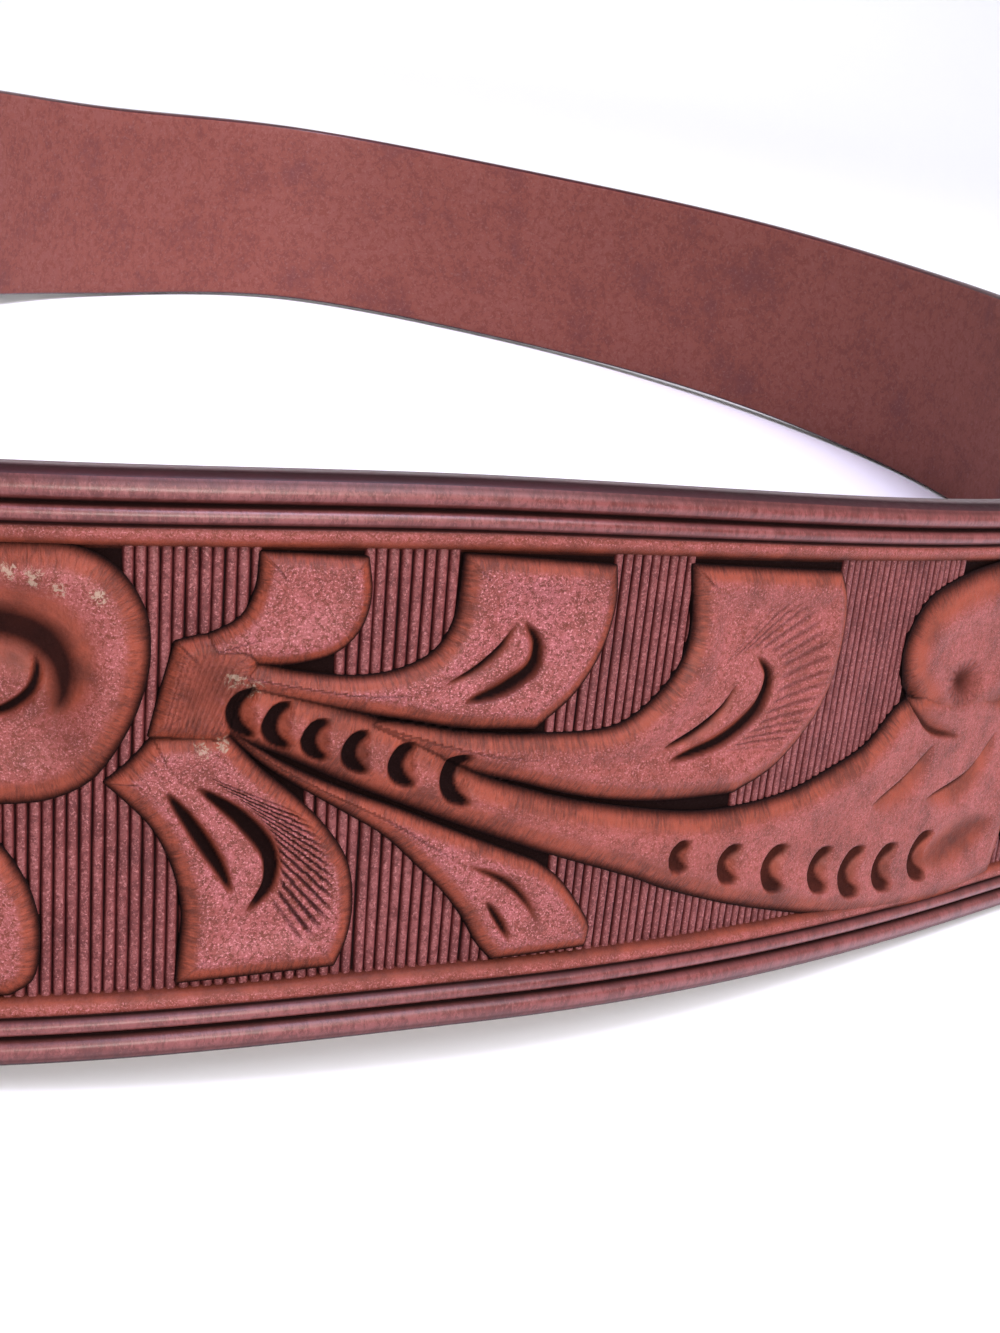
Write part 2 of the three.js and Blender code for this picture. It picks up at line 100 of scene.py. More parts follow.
def closed_spline(rows, steps):
    """Uniform Catmull-Rom through rows of numbers, all the way round."""
    a, b, c, d = (np.roll(rows, turn, axis=0)[:, None] for turn in (1, 0, -1, -2))
    u = (np.arange(steps) / steps)[None, :, None]
    slope = c - a + (2 * a - 5 * b + 4 * c - d + (3 * (b - c) + d - a) * u) * u
    return (b + 0.5 * slope * u).reshape(-1, rows.shape[1])


def unit(vectors):
    return vectors / np.linalg.norm(vectors, axis=-1, keepdims=True)


table = np.stack([loop_rows[name] for name in loop_rows.dtype.names], axis=1)
round_loop = closed_spline(table, steps=160)
plan = round_loop[:, :2]
steps_round = np.linalg.norm(np.roll(plan, -1, axis=0) - plan, axis=1)
heights = round_loop[:, 2] * strap_width + round_loop[:, 3] * buckle_drop
line = np.column_stack([plan * waist / steps_round.sum(), heights])
stops = np.concatenate([[0], np.cumsum(steps_round)]) * waist / steps_round.sum()
along = unit(np.roll(line, -1, axis=0) - np.roll(line, 1, axis=0))
outward = unit(np.column_stack([along[:, 1], -along[:, 0], np.zeros(len(along))]))
upward = unit(np.cross(outward, along))
lean = np.radians(round_loop[:, 4])[:, None]
across_axis = upward * np.cos(lean) + outward * np.sin(lean)
out_axis = outward * np.cos(lean) - upward * np.sin(lean)
loop_path = np.column_stack([line, across_axis, out_axis])
loop_path = np.vstack([loop_path, loop_path[:1]])


def bend(flat, shift=Vector((0, 0, 0))):
    """Flat points (along, across, outward, in mm) bent round the loop, in metres."""
    s = np.mod(flat[:, 0], waist)
    at = np.stack([np.interp(s, stops, column) for column in loop_path.T], axis=1)
    placed = at[:, 0:3] + at[:, 3:6] * flat[:, 1:2] + at[:, 6:9] * flat[:, 2:3]
    return placed * mm + np.array(shift)


def tail_lift(past):
    """How far out the strap's middle runs near the heel bar and past it, where the tail overlaps."""
    return (strap_thickness + layer_gap) * smoothstep((past + tail_ramp) / (tail_ramp + 4))


# The section from the edge inward: e is the distance from the edge, n the height of the finished, bordered
# face and plain the height of a plain face, both outward from the middle, and stain is how dark the antique
# paste stays there.
section_rows = np.array([
    (0.90, -2.00, -2.00, 0.10), (0.45, -1.90, -1.90, 0.50), (0.16, -1.60, -1.60, 0.80),
    (0.03, -1.10, -1.10, 0.85),
    (0.00, -0.40, -0.40, 0.85), (0.02, 0.35, 0.35, 0.85), (0.12, 0.95, 0.95, 0.80), (0.30, 1.40, 1.40, 0.60),
    (0.52, 1.66, 1.68, 0.40), (0.72, 1.76, 1.84, 0.45), (0.95, 1.90, 1.94, 0.15), (1.20, 1.98, 1.98, 0.00),
    (1.45, 1.99, 2.00, 0.00), (1.70, 1.90, 2.00, 0.10), (1.90, 1.66, 2.00, 0.50), (2.04, 1.42, 2.00, 1.00),
    (2.16, 1.36, 2.00, 1.00), (2.27, 1.46, 2.00, 0.90), (2.38, 1.74, 2.00, 0.30), (2.55, 1.90, 2.00, 0.00),
    (2.80, 1.96, 2.00, 0.00), (3.05, 1.91, 2.00, 0.05), (3.24, 1.72, 2.00, 0.50), (3.36, 1.48, 2.00, 1.00),
    (3.46, 1.45, 2.00, 0.90), (3.58, 1.62, 2.00, 0.30), (3.80, 1.70, 2.00, 0.00), (4.10, 1.66, 2.00, 0.00),
    (4.40, 1.52, 2.00, 0.15), (4.62, 1.32, 2.00, 0.45), (4.80, 1.05, 2.00, 0.80), (4.95, 0.88, 2.00, 1.00),
    (5.30, 0.85, 2.00, 1.00),
], dtype=[("e", float), ("n", float), ("plain", float), ("paste_and_shade", float)])

slope_start, field_start = 3.9, 4.7
ledge_height, slope_drop = 1.7, 0.85

# The tip, as shares of its length left and of half the strap's width
tip_rows = np.array([
    (1, 1), (0.87, 0.993), (0.75, 0.97), (0.63, 0.925), (0.52, 0.86), (0.42, 0.785), (0.32, 0.69),
    (0.23, 0.585), (0.15, 0.47), (0.09, 0.365), (0.04, 0.25), (0.012, 0.16), (0, 0.1),
], dtype=[("back", float), ("half", float)])


def bordered(s):
    return smoothstep((s - fold_length) / border_run)


def in_field(s):
    return smoothstep((s - tooled_start) / field_run) * smoothstep((tooled_end - s) / field_run)


def strap_stations():
    """The strap's middle from the folded end, round the heel bar, along the loop and out to the tip."""
    outer = heel_radius + clearance + fold_thickness
    bar_depth = half_thickness - outer
    flat_depth = -half_thickness - clearance - fold_thickness / 2
    fold_depth = bar_depth - outer + fold_thickness / 2
    rows = []
    for s in np.linspace(fold_length, fold_taper, 16)[:-1]:
        rows.append((s, flat_depth, 180, fold_thickness, 0, 0, 1))
    for share in np.linspace(1, 0, 9)[:-1]:
        n = fold_depth + (flat_depth - fold_depth) * float(smoothstep(share))
        rows.append((fold_taper * share, n, 180, fold_thickness, 0, 0, 1))
    bend_radius = heel_radius + clearance + fold_thickness / 2
    for heading in np.linspace(180, 0, 19):
        angle = math.radians(heading)
        s = -bend_radius * math.sin(angle)
        n = bar_depth + bend_radius * math.cos(angle)
        rows.append((s, n, heading, fold_thickness, 0, 0, 1))
    for share in np.linspace(0, 1, 9)[1:]:
        thickness = fold_thickness + (strap_thickness - fold_thickness) * float(smoothstep(share))
        rows.append((fold_taper * share, (strap_thickness - thickness) / 2, 0, thickness, 0, 0, 1))
    end = waist + tail_length - tip_length
    for s in np.linspace(fold_taper, end, round((end - fold_taper) / station_pitch))[1:]:
        border = float(bordered(s))
        field = float(in_field(s))
        rows.append((s, float(tail_lift(s - waist)), 0, strap_thickness, border, field, 1))
    for row in tip_rows[1:]:
        s = end + tip_length * (1 - row["back"])
        rows.append((s, float(tail_lift(s - waist)), 0, strap_thickness, 1, 0, row["half"]))
    names = ("s", "n", "heading", "thickness", "border", "field", "half")
    return np.array(rows, dtype=[(name, float) for name in names])


def strap_ring(station):
    """One closed section, as flat points."""
    half_width = strap_width / 2 * station["half"]
    narrow = min(1, half_width * 1.9 / (strap_width / 2))
    thick = station["thickness"] / strap_thickness
    e = section_rows["e"] * narrow
    slope = np.maximum(section_rows["n"], ledge_height - slope_drop * station["field"])
    finished = np.where(section_rows["e"] > slope_start, slope, section_rows["n"])
    field_height = half_thickness - ground_depth * station["field"]
    finished = np.where(section_rows["e"] > field_start, field_height, finished)
    depth = (section_rows["plain"] + (finished - section_rows["plain"]) * station["border"]) * thick
    inner = np.linspace(-1, 1, 9)[1:-1] * max(half_width - e[-1], 0)
    flesh = np.linspace(-1, 1, 9)[1:-1] * max(half_width - e[0], 0)
    t = np.concatenate([half_width - e, inner[::-1], -(half_width - e)[::-1], flesh])
    n = np.concatenate([depth, np.full(7, depth[-1]), depth[::-1], np.full(7, depth[0])])
    angle = math.radians(station["heading"])
    return np.column_stack([station["s"] - n * math.sin(angle), strap_width / 2 + t,
                            station["n"] + n * math.cos(angle)])


def new_mesh(name, points, faces):
    mesh = bpy.data.meshes.new(name)
    mesh.from_pydata([tuple(p) for p in points], [], [tuple(f) for f in faces])
    mesh.update()
    return mesh


def add_piece(name, mesh):
    piece = bpy.data.objects.new(name, mesh)
    bpy.context.scene.collection.objects.link(piece)
    return piece


def turn_outward(mesh):
    work = bmesh.new()
    work.from_mesh(mesh)
    bmesh.ops.remove_doubles(work, verts=work.verts, dist=1e-7)
    bmesh.ops.recalc_face_normals(work, faces=work.faces)
    work.to_mesh(mesh)
    work.free()


def coordinates(mesh):
    values = np.empty(len(mesh.vertices) * 3, np.float64)
    mesh.vertices.foreach_get("co", values)
    return values.reshape(-1, 3)


def keep_numbers(mesh, name, values):
    """Stores a number or a vector for each point, for the material to read."""
    kind = "FLOAT_VECTOR" if values.ndim == 2 else "FLOAT"
    layer = mesh.attributes.new(name, kind, "POINT")
    layer.data.foreach_set("vector" if values.ndim == 2 else "value", values.astype(np.float32).ravel())


def set_round_loop(mesh, shift):
    """Bends a flat mesh round the loop, and keeps its flat places in mm as the attribute flat."""
    flat = coordinates(mesh)
    keep_numbers(mesh, "flat", flat)
    mesh.vertices.foreach_set("co", bend(flat, shift).ravel())
    mesh.update()


def swept(rings, closed):
    """A skin over rings of equal count, joined all the way round or capped at both ends."""
    index = np.arange(len(rings) * len(rings[0])).reshape(len(rings), len(rings[0]))
    here, after = (index, np.roll(index, -1, 0)) if closed else (index[:-1], index[1:])
    corners = [here, np.roll(here, -1, 1), np.roll(after, -1, 1), after]
    faces = np.stack(corners, axis=-1).reshape(-1, 4).tolist()
    if not closed:
        faces += [index[0].tolist(), index[-1][::-1].tolist()]
    mesh = new_mesh("skin", np.concatenate(rings), faces)
    turn_outward(mesh)
    return mesh


stations = strap_stations()
strap = add_piece("strap_leather", swept([strap_ring(station) for station in stations], closed=False))


def punch(places, across, depth_from, depth_to, diameter):
    """Round cutters through the flat strap, joined as one mesh."""
    work = bmesh.new()
    for s in places:
        middle = Matrix.Translation((s, across, (depth_from + depth_to) / 2))
        bmesh.ops.create_cone(work, cap_ends=True, segments=32, radius1=diameter / 2, radius2=diameter / 2,
                              depth=depth_to - depth_from, matrix=middle)
    mesh = bpy.data.meshes.new("cutter")
    work.to_mesh(mesh)
    work.free()
    return mesh


def cut_away(piece, cutter_mesh):
    cutter = add_piece("cutter", cutter_mesh)
    cut = piece.modifiers.new("cut", "BOOLEAN")
    cut.operation = "DIFFERENCE"
    cut.solver = "MANIFOLD"
    cut.object = cutter
    graph = bpy.context.evaluated_depsgraph_get()
    result = bpy.data.meshes.new_from_object(piece.evaluated_get(graph))
    piece.modifiers.remove(cut)
    piece.data = result
    bpy.data.objects.remove(cutter)


hole_places = [waist + hole_offset + (k - (hole_count - 1) / 2) * hole_pitch for k in range(hole_count)]
tail_depth = strap_thickness + layer_gap
well_past = 9
cut_away(strap, punch(hole_places, strap_width / 2, -well_past, tail_depth + well_past, hole_diameter))
cut_away(strap, punch(rivet_places, strap_width / 2, -well_past, strap_thickness,
                      rivet_shaft + 2 * clearance))
slot = bmesh.new()
outer = heel_radius + clearance + fold_thickness
bmesh.ops.create_cube(slot, size=1)
slot_reach = outer + 6
bmesh.ops.scale(slot, vec=(slot_reach, slot_width, 2 * outer + 2), verts=slot.verts)
bmesh.ops.translate(slot, vec=(slot_reach / 2 - outer - 1, strap_width / 2, half_thickness - outer),
                    verts=slot.verts)
slot_mesh = bpy.data.meshes.new("slot")
slot.to_mesh(slot_mesh)
slot.free()
cut_away(strap, slot_mesh)

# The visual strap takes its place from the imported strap's box.
flat = coordinates(strap.data)
bent = bend(flat)
low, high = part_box("strap")
shift = (low + high) / 2 - (Vector(bent.min(0)) + Vector(bent.max(0))) / 2
shift.z = low.z - bent[:, 2].min()


def linear(code):
    """An sRGB hex colour as linear numbers with full cover."""
    parts = [int(code[i:i + 2], 16) / 255 for i in (1, 3, 5)]
    return (*(c / 12.92 if c <= 0.04045 else ((c + 0.055) / 1.055) ** 2.4 for c in parts), 1.0)


def node(tree, kind, inputs=(), **settings):
    """Adds a node with its settings, and gives its inputs links, values or hex colours."""
    made = tree.nodes.new(kind)
    for name, value in settings.items():
        setattr(made, name, value)
    for socket, value in dict(inputs).items():
        if isinstance(value, bpy.types.NodeSocket):
            tree.links.new(value, made.inputs[socket])
        else:
            is_colour = isinstance(value, str) and value.startswith("#")
            made.inputs[socket].default_value = linear(value) if is_colour else value
    return made


def leather(name, tones, roughness, shine, coat, grain_mm, grain_height, pool_mm, pull=(1, 1, 1)):
    """Vegetable-tanned leather, laid out on the strap's flat places in mm.

    Dye that pooled gives a mottled low tone on slopes, drawn out into fibres that run down from the rim.
    Rubbed tops turn to the top tone, which also paints the sheen they catch, with pink specks that are
    painted glints on the grain. Antique paste stays where its attribute says and in the fine veins, together
    with painted shade in the hollows and between the ribs, and takes the gloss away there.
    """
    material = bpy.data.materials.new(name)
    material.use_nodes = True
    tree = material.node_tree
    tree.nodes.clear()
    kept = {key: node(tree, "ShaderNodeAttribute", attribute_name=key).outputs
            for key in ("flat", "paste_and_shade", "top", "worn", "rim", "vein")}
    rim_place = kept["rim"]["Vector"]

    # Grain of the hide, pooled dye, and fibres across each form's rim
    pulled = node(tree, "ShaderNodeVectorMath", {0: kept["flat"]["Vector"], 1: pull},
                  operation="MULTIPLY").outputs["Vector"]
    grain = node(tree, "ShaderNodeTexNoise", {
        "Vector": pulled, "Scale": 1 / grain_mm, "Detail": 3, "Roughness": 0.75}).outputs["Fac"]
    flecks = node(tree, "ShaderNodeTexNoise", {
        "Vector": pulled, "Scale": 0.4 / grain_mm, "Detail": 5, "Roughness": 0.8,
        "Distortion": 0.6}).outputs["Fac"]
    pooled = node(tree, "ShaderNodeTexNoise", {
        "Vector": pulled, "Scale": 1 / pool_mm, "Detail": 4, "Roughness": 0.6}).outputs["Fac"]
    fibres_per_mm = (4.5, 0.9, 0)
    drawn_out = node(tree, "ShaderNodeVectorMath", {0: rim_place, 1: fibres_per_mm}, operation="MULTIPLY")
    fibres = node(tree, "ShaderNodeTexNoise", {
        "Vector": drawn_out.outputs["Vector"], "Scale": 1.0, "Detail": 3, "Roughness": 0.65,
        "Distortion": 0.5}).outputs["Fac"]
    near_rim = node(tree, "ShaderNodeSeparateXYZ", {"Vector": rim_place}).outputs["Z"]
    fibres = node(tree, "ShaderNodeMix", {"Factor": near_rim, "A": 0.5, "B": fibres}).outputs["Result"]
    mottled = node(tree, "ShaderNodeMath", {0: pooled, 1: fibres}, operation="ADD").outputs["Value"]

    # The fine veins: how near a point lies to the next whole number, where the fans are strong
    vein_parts = node(tree, "ShaderNodeSeparateXYZ", {"Vector": kept["vein"]["Vector"]}).outputs
    vein_gap = node(tree, "ShaderNodeMath", {0: vein_parts["X"], 1: 0.5},
                    operation="PINGPONG").outputs["Value"]
    vein_line = node(tree, "ShaderNodeMapRange", {
        "Value": vein_gap, "From Min": 0.08, "From Max": 0.3, "To Min": 1.0, "To Max": 0.0}).outputs["Result"]
    vein = node(tree, "ShaderNodeMath", {0: vein_line, 1: vein_parts["Z"]},
                operation="MULTIPLY").outputs["Value"]
    paste_and_shade = node(tree, "ShaderNodeMath", {0: kept["paste_and_shade"]["Fac"], 1: vein},
                 operation="MAXIMUM").outputs["Value"]

    # Colours from the lowest to the most rubbed
    low_share = node(tree, "ShaderNodeMapRange",
                     {"Value": mottled, "From Min": 0.8, "From Max": 1.12}).outputs["Result"]
    low = node(tree, "ShaderNodeMix", {
        "Factor": low_share, "A": tones["deep"], "B": tones["low"]}, data_type="RGBA").outputs["Result"]
    dark_flecks = node(tree, "ShaderNodeMapRange", {
        "Value": flecks, "From Min": 0.43, "From Max": 0.53, "To Min": 1.0, "To Max": 0.0}).outputs["Result"]
    # The top tone on the raised tops is the rubbed-back finish and also a painted sheen
    rubbed_and_sheen_share = node(tree, "ShaderNodeMapRange", {
        "Value": pooled, "From Min": 0.38, "From Max": 0.6, "To Min": 0.3, "To Max": 1.0}).outputs["Result"]
    rubbed_and_sheen = node(tree, "ShaderNodeMix", {
        "Factor": rubbed_and_sheen_share, "A": low, "B": tones["top"]}, data_type="RGBA").outputs["Result"]
    rubbed_and_sheen = node(tree, "ShaderNodeMix", {
        "Factor": dark_flecks, "A": rubbed_and_sheen, "B": tones["deep"]}, data_type="RGBA").outputs["Result"]
    # Pink specks on the tops: painted glints of the light on the grain
    glint_share = node(tree, "ShaderNodeMapRange", {
        "Value": grain, "From Min": 0.53, "From Max": 0.68, "To Min": 0.0, "To Max": 0.85}).outputs["Result"]
    glinted = node(tree, "ShaderNodeMix", {
        "Factor": glint_share, "A": rubbed_and_sheen, "B": tones["glint_speck"]}, data_type="RGBA").outputs["Result"]
    face = node(tree, "ShaderNodeMix", {"Factor": kept["top"]["Fac"], "A": low, "B": glinted},
                data_type="RGBA").outputs["Result"]
    flaking = node(tree, "ShaderNodeMath", {0: kept["worn"]["Fac"], 1: flecks},
                   operation="MULTIPLY").outputs["Value"]
    flaked = node(tree, "ShaderNodeMapRange", {
        "Value": flaking, "From Min": 0.46, "From Max": 0.52, "To Min": 0.0, "To Max": 0.8}).outputs["Result"]
    face = node(tree, "ShaderNodeMix", {"Factor": flaked, "A": face, "B": "#8E7A66"},
                data_type="RGBA").outputs["Result"]
    paste_and_shade_mixed = node(tree, "ShaderNodeMix", {
        "Factor": paste_and_shade, "A": face, "B": tones["paste"]}, data_type="RGBA").outputs["Result"]

    # Relief of grain, pores, fibres and veins, in shares of the grain's height
    pores = node(tree, "ShaderNodeTexVoronoi",
                 {"Vector": pulled, "Scale": 0.5 / grain_mm}).outputs["Distance"]
    relief = node(tree, "ShaderNodeMix", {"Factor": 0.35, "A": grain, "B": pores}).outputs["Result"]
    relief = node(tree, "ShaderNodeMath", {0: fibres, 1: 1.2, 2: relief},
                  operation="MULTIPLY_ADD").outputs["Value"]
    relief = node(tree, "ShaderNodeMath", {0: vein, 1: -1.6, 2: relief},
                  operation="MULTIPLY_ADD").outputs["Value"]
    bump = node(tree, "ShaderNodeBump", {"Height": relief, "Strength": 1.0, "Distance": grain_height * mm})
    gloss = node(tree, "ShaderNodeMapRange", {
        "Value": grain, "From Min": 0.3, "From Max": 0.7, "To Min": roughness - 0.07,
        "To Max": roughness + 0.1})
    dulled = node(tree, "ShaderNodeMath", {
        0: paste_and_shade, 1: 0.4, 2: gloss.outputs["Result"]}, operation="MULTIPLY_ADD", use_clamp=True)
    mirrored = node(tree, "ShaderNodeMapRange", {"Value": paste_and_shade, "To Min": shine, "To Max": 0.05})
    waxed = node(tree, "ShaderNodeMapRange", {"Value": paste_and_shade, "From Max": 0.8, "To Min": coat, "To Max": 0.0})
    shader = node(tree, "ShaderNodeBsdfPrincipled", {
        "Base Color": paste_and_shade_mixed, "Roughness": dulled.outputs["Value"], "Normal": bump.outputs["Normal"],
        "Specular IOR Level": mirrored.outputs["Result"], "Coat Weight": waxed.outputs["Result"],
        "IOR": 1.5, "Coat Roughness": 0.28})
    node(tree, "ShaderNodeOutputMaterial", {"Surface": shader.outputs["BSDF"]})
    return material


# The face is dyed red-brown, antiqued with dark paste and rubbed back, so that tops look pinkish and speckled
# and slopes a burnt orange; the pink of the tops is partly a painted sheen and the specks are painted glints.
# Its grain is as fine as a real one's, about 0.15 mm.
antiqued_leather = leather(
    "antiqued_carved_leather",
    {"low": "#7C3622", "deep": "#54200F", "top": "#824444", "glint_speck": "#C07C7E", "paste": "#120605"},
    roughness=0.46, shine=0.24, coat=0.05, grain_mm=0.15, grain_height=0.11, pool_mm=2.6)
# The beads and ledges are pressed smooth with a hot wheel and shine along their length.
pressed_leather = leather(
    "wheel_pressed_bead_leather",
    {"low": "#62261E", "deep": "#4C1C16", "top": "#76403E", "glint_speck": "#8A5450", "paste": "#160807"},
    roughness=0.38, shine=0.4, coat=0.22, grain_mm=0.3, grain_height=0.03, pool_mm=3, pull=(1.6, 0.7, 1))
# The edge is slicked with wax and a bone, which leaves it dark and smooth, drawn out along the strap.
burnished_edge = leather(
    "bone_burnished_edge_leather",
    {"low": "#42161A", "deep": "#301012", "top": "#4A1C1E", "glint_speck": "#5A2C30", "paste": "#1A0A0A"},
    roughness=0.38, shine=0.35, coat=0.12, grain_mm=0.5, grain_height=0.015, pool_mm=6, pull=(0.5, 1.5, 1))
# The back is the hide's split side, dyed and pasted down: dull, with broad clouds of dye.
flesh_leather = leather(
    "pasted_flesh_side_leather",
    {"low": "#8A4428", "deep": "#62322E", "top": "#6E403E", "glint_speck": "#7A5250", "paste": "#4A2420"},
    roughness=0.75, shine=0.3, coat=0.0, grain_mm=0.7, grain_height=0.04, pool_mm=11)

strap_flat = coordinates(strap.data)
bead_end = 3.6
ledge_end = 4.5
back_height = -1.8


def over_middle(places):
    """How far outward flat places lie from the strap's middle, also where the tail is lifted."""
    return places[:, 2] - np.where(places[:, 0] > waist / 2, tail_lift(places[:, 0] - waist), 0)


point_n = over_middle(strap_flat)
edge_gap = np.minimum(strap_flat[:, 1], strap_width - strap_flat[:, 1])
outer_face_rows = section_rows[4:]
paste_and_shade_values = np.interp(edge_gap, outer_face_rows["e"], outer_face_rows["paste_and_shade"])
paste_and_shade_values = np.where(edge_gap > 0.8, paste_and_shade_values * bordered(strap_flat[:, 0]), paste_and_shade_values)
paste_and_shade_values = np.where(edge_gap > ledge_end, paste_and_shade_values * in_field(strap_flat[:, 0]), paste_and_shade_values)
paste_and_shade_values = np.where(point_n < 0.5, 0.0, paste_and_shade_values)
keep_numbers(strap.data, "paste_and_shade", paste_and_shade_values)
# The beads and ledges take some of the lighter top tone: rubbed back, and a painted sheen along their crowns
ledge_top = smoothstep((edge_gap - bead_end) / 0.15) * smoothstep((ledge_end - 0.15 - edge_gap) / 0.3)
bead_top = (1 - paste_and_shade_values) * (edge_gap < bead_end)
border_top = 0.6 * np.maximum(ledge_top, bead_top)
top_values = np.where(edge_gap < ledge_end + 0.1, border_top, 1 - in_field(strap_flat[:, 0]))
keep_numbers(strap.data, "top", np.where(point_n < back_height, 0.75, top_values))
strap.data.materials.clear()
for finish in (pressed_leather, antiqued_leather, burnished_edge, flesh_leather):
    strap.data.materials.append(finish)
polygon_count = len(strap.data.polygons)
centres = np.empty(polygon_count * 3)
strap.data.polygons.foreach_get("center", centres)
centres = centres.reshape(-1, 3)
centre_n = over_middle(centres)
centre_e = np.minimum(centres[:, 1], strap_width - centres[:, 1])
finish_index = np.zeros(polygon_count, np.int32)
finish_index[centre_e > bead_end] = 1
finish_index[(centre_e < 0.6) & (centre_n > -1.95)] = 2
finish_index[(centre_n < back_height) & (centres[:, 0] > fold_taper)] = 3
strap.data.polygons.foreach_set("material_index", finish_index)
set_round_loop(strap.data, shift)
strap.data.shade_smooth()
strap.data.set_sharp_from_angle(angle=math.radians(50))
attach(strap, "root")
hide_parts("strap")

# The carving: a scroll of leaves and flowers cut and bevelled into the strap's damp face, so that it stands
# at the full height of the leather while the ground round it is beaten down. One flower and the scroll after
# it repeat every 100 mm. Places are mm past the flower's centre and mm up from the strap's lower edge.
ground_height = half_thickness - ground_depth
outline_growth = 0.12
gap_reach = 3.0
foot_share, foot_reach = 0.3, 0.3
dish_run = 2.4
fibre_start, fibre_run = 0.9, 1.3
fibre_places_between_forms = 60

# Each outline is a closed run of smooth curves that meet at corners.
scroll_outlines = {
    "calyx": [[(19.5, 27.4), (21.5, 27.8), (24.5, 27.2)], [(24.5, 27.2), (24.2, 23.5), (22.5, 21.0)],
              [(22.5, 21.0), (18.0, 21.5)],
              [(18.0, 21.5), (18.6, 24.0), (19.5, 27.4)]],
    "small_leaf": [[(21.0, 27.6), (23.4, 28.9), (24.3, 30.8), (24.5, 33.0)], [(24.5, 33.0), (31.0, 32.7)],
                   [(31.0, 32.7), (31.3, 30.3), (30.7, 28.1), (29.3, 26.7), (26.5, 26.0), (23.4, 26.0),
                    (20.5, 25.6)],
                   [(20.5, 25.6), (21.0, 27.6)]],
    "middle_leaf": [[(20.5, 25.9), (23.4, 26.2), (26.9, 25.4), (31.0, 25.0), (33.8, 25.5), (35.7, 26.6),
                     (36.8, 28.5), (37.2, 33.0)],
                    [(37.2, 33.0), (47.8, 32.5)],
                    [(47.8, 32.5), (48.1, 30.2), (47.5, 26.9), (45.7, 23.7), (43.0, 21.3)],
                    [(43.0, 21.3), (37.9, 21.5), (34.6, 22.1), (30.7, 22.8), (26.0, 23.8), (21.0, 24.6)],
                    [(21.0, 24.6), (20.5, 25.9)]],
    "large_leaf": [[(30.0, 22.4), (34.6, 21.7), (37.9, 21.1), (43.0, 20.8), (49.5, 21.2), (52.3, 22.9),
                    (54.5, 25.6), (55.0, 28.2),
                    (54.3, 32.7)],
                   [(54.3, 32.7), (69.8, 32.4)],
                   [(69.8, 32.4), (70.9, 30.6), (71.3, 27.6), (70.7, 23.6), (68.8, 20.4), (65.4, 17.4),
                    (61.5, 15.7)],
                   [(61.5, 15.7), (55.0, 15.6), (50.3, 15.9), (46.1, 16.6), (42.7, 17.5), (38.8, 18.5),
                    (34.0, 20.4), (30.0, 22.4)]],
    "main_stem": [[(20.8, 26.0), (23.5, 25.2), (27.0, 23.9), (31.0, 22.6), (35.0, 20.9), (39.2, 18.2),
                   (42.7, 17.0), (46.1, 16.1),
                   (50.3, 15.3), (57.3, 14.4), (61.8, 14.4), (67.7, 15.1), (71.8, 16.3), (77.1, 18.4),
                   (80.6, 21.4), (84.0, 22.5)],
                  [(84.0, 22.5), (92.0, 22.5), (100.0, 20.5)],
                  [(100.0, 20.5), (101.0, 9.0), (100.0, 4.0)],
                  [(100.0, 4.0), (95.1, 3.0), (87.0, 2.9), (79.4, 3.5), (68.8, 5.5), (62.5, 6.9), (55.5, 8.9),
                   (53.1, 9.8),
                   (45.5, 12.2), (40.7, 13.9), (37.8, 15.0), (34.4, 16.4), (30.0, 18.3), (26.0, 20.2),
                   (21.0, 22.2)],
                  [(21.0, 22.2), (20.2, 24.0), (20.8, 26.0)]],
    "veined_leaf": [[(18.2, 21.4), (17.0, 20.0), (15.4, 18.6)],
                    [(15.4, 18.6), (16.8, 17.3), (18.4, 15.5), (19.7, 12.8), (20.3, 10.0),
                    (20.2, 7.5), (20.0, 5.2)], [(20.0, 5.2), (30.2, 5.5)],
                    [(30.2, 5.5), (30.9, 7.2), (31.2, 9.6), (30.7, 12.6), (29.2, 15.0), (27.3, 17.0),
                     (24.6, 19.4), (22.6, 21.6)],
                    [(22.6, 21.6), (18.2, 21.4)]],
    "slim_leaf": [[(22.2, 22.2), (25.0, 19.6), (27.2, 18.1), (30.1, 16.3), (33.1, 14.4), (35.6, 12.1),
                   (37.6, 10.1), (39.2, 8.1),
                   (40.4, 6.2), (41.6, 4.9)], [(41.6, 4.9), (49.1, 5.1)],
                  [(49.1, 5.1), (49.3, 6.4), (48.1, 8.2), (46.1, 10.4), (44.2, 11.7)],
                  [(44.2, 11.7), (40.7, 13.1), (37.8, 14.3), (34.4, 15.8), (30.0, 17.6), (26.0, 19.6),
                   (22.2, 22.2)]],
}
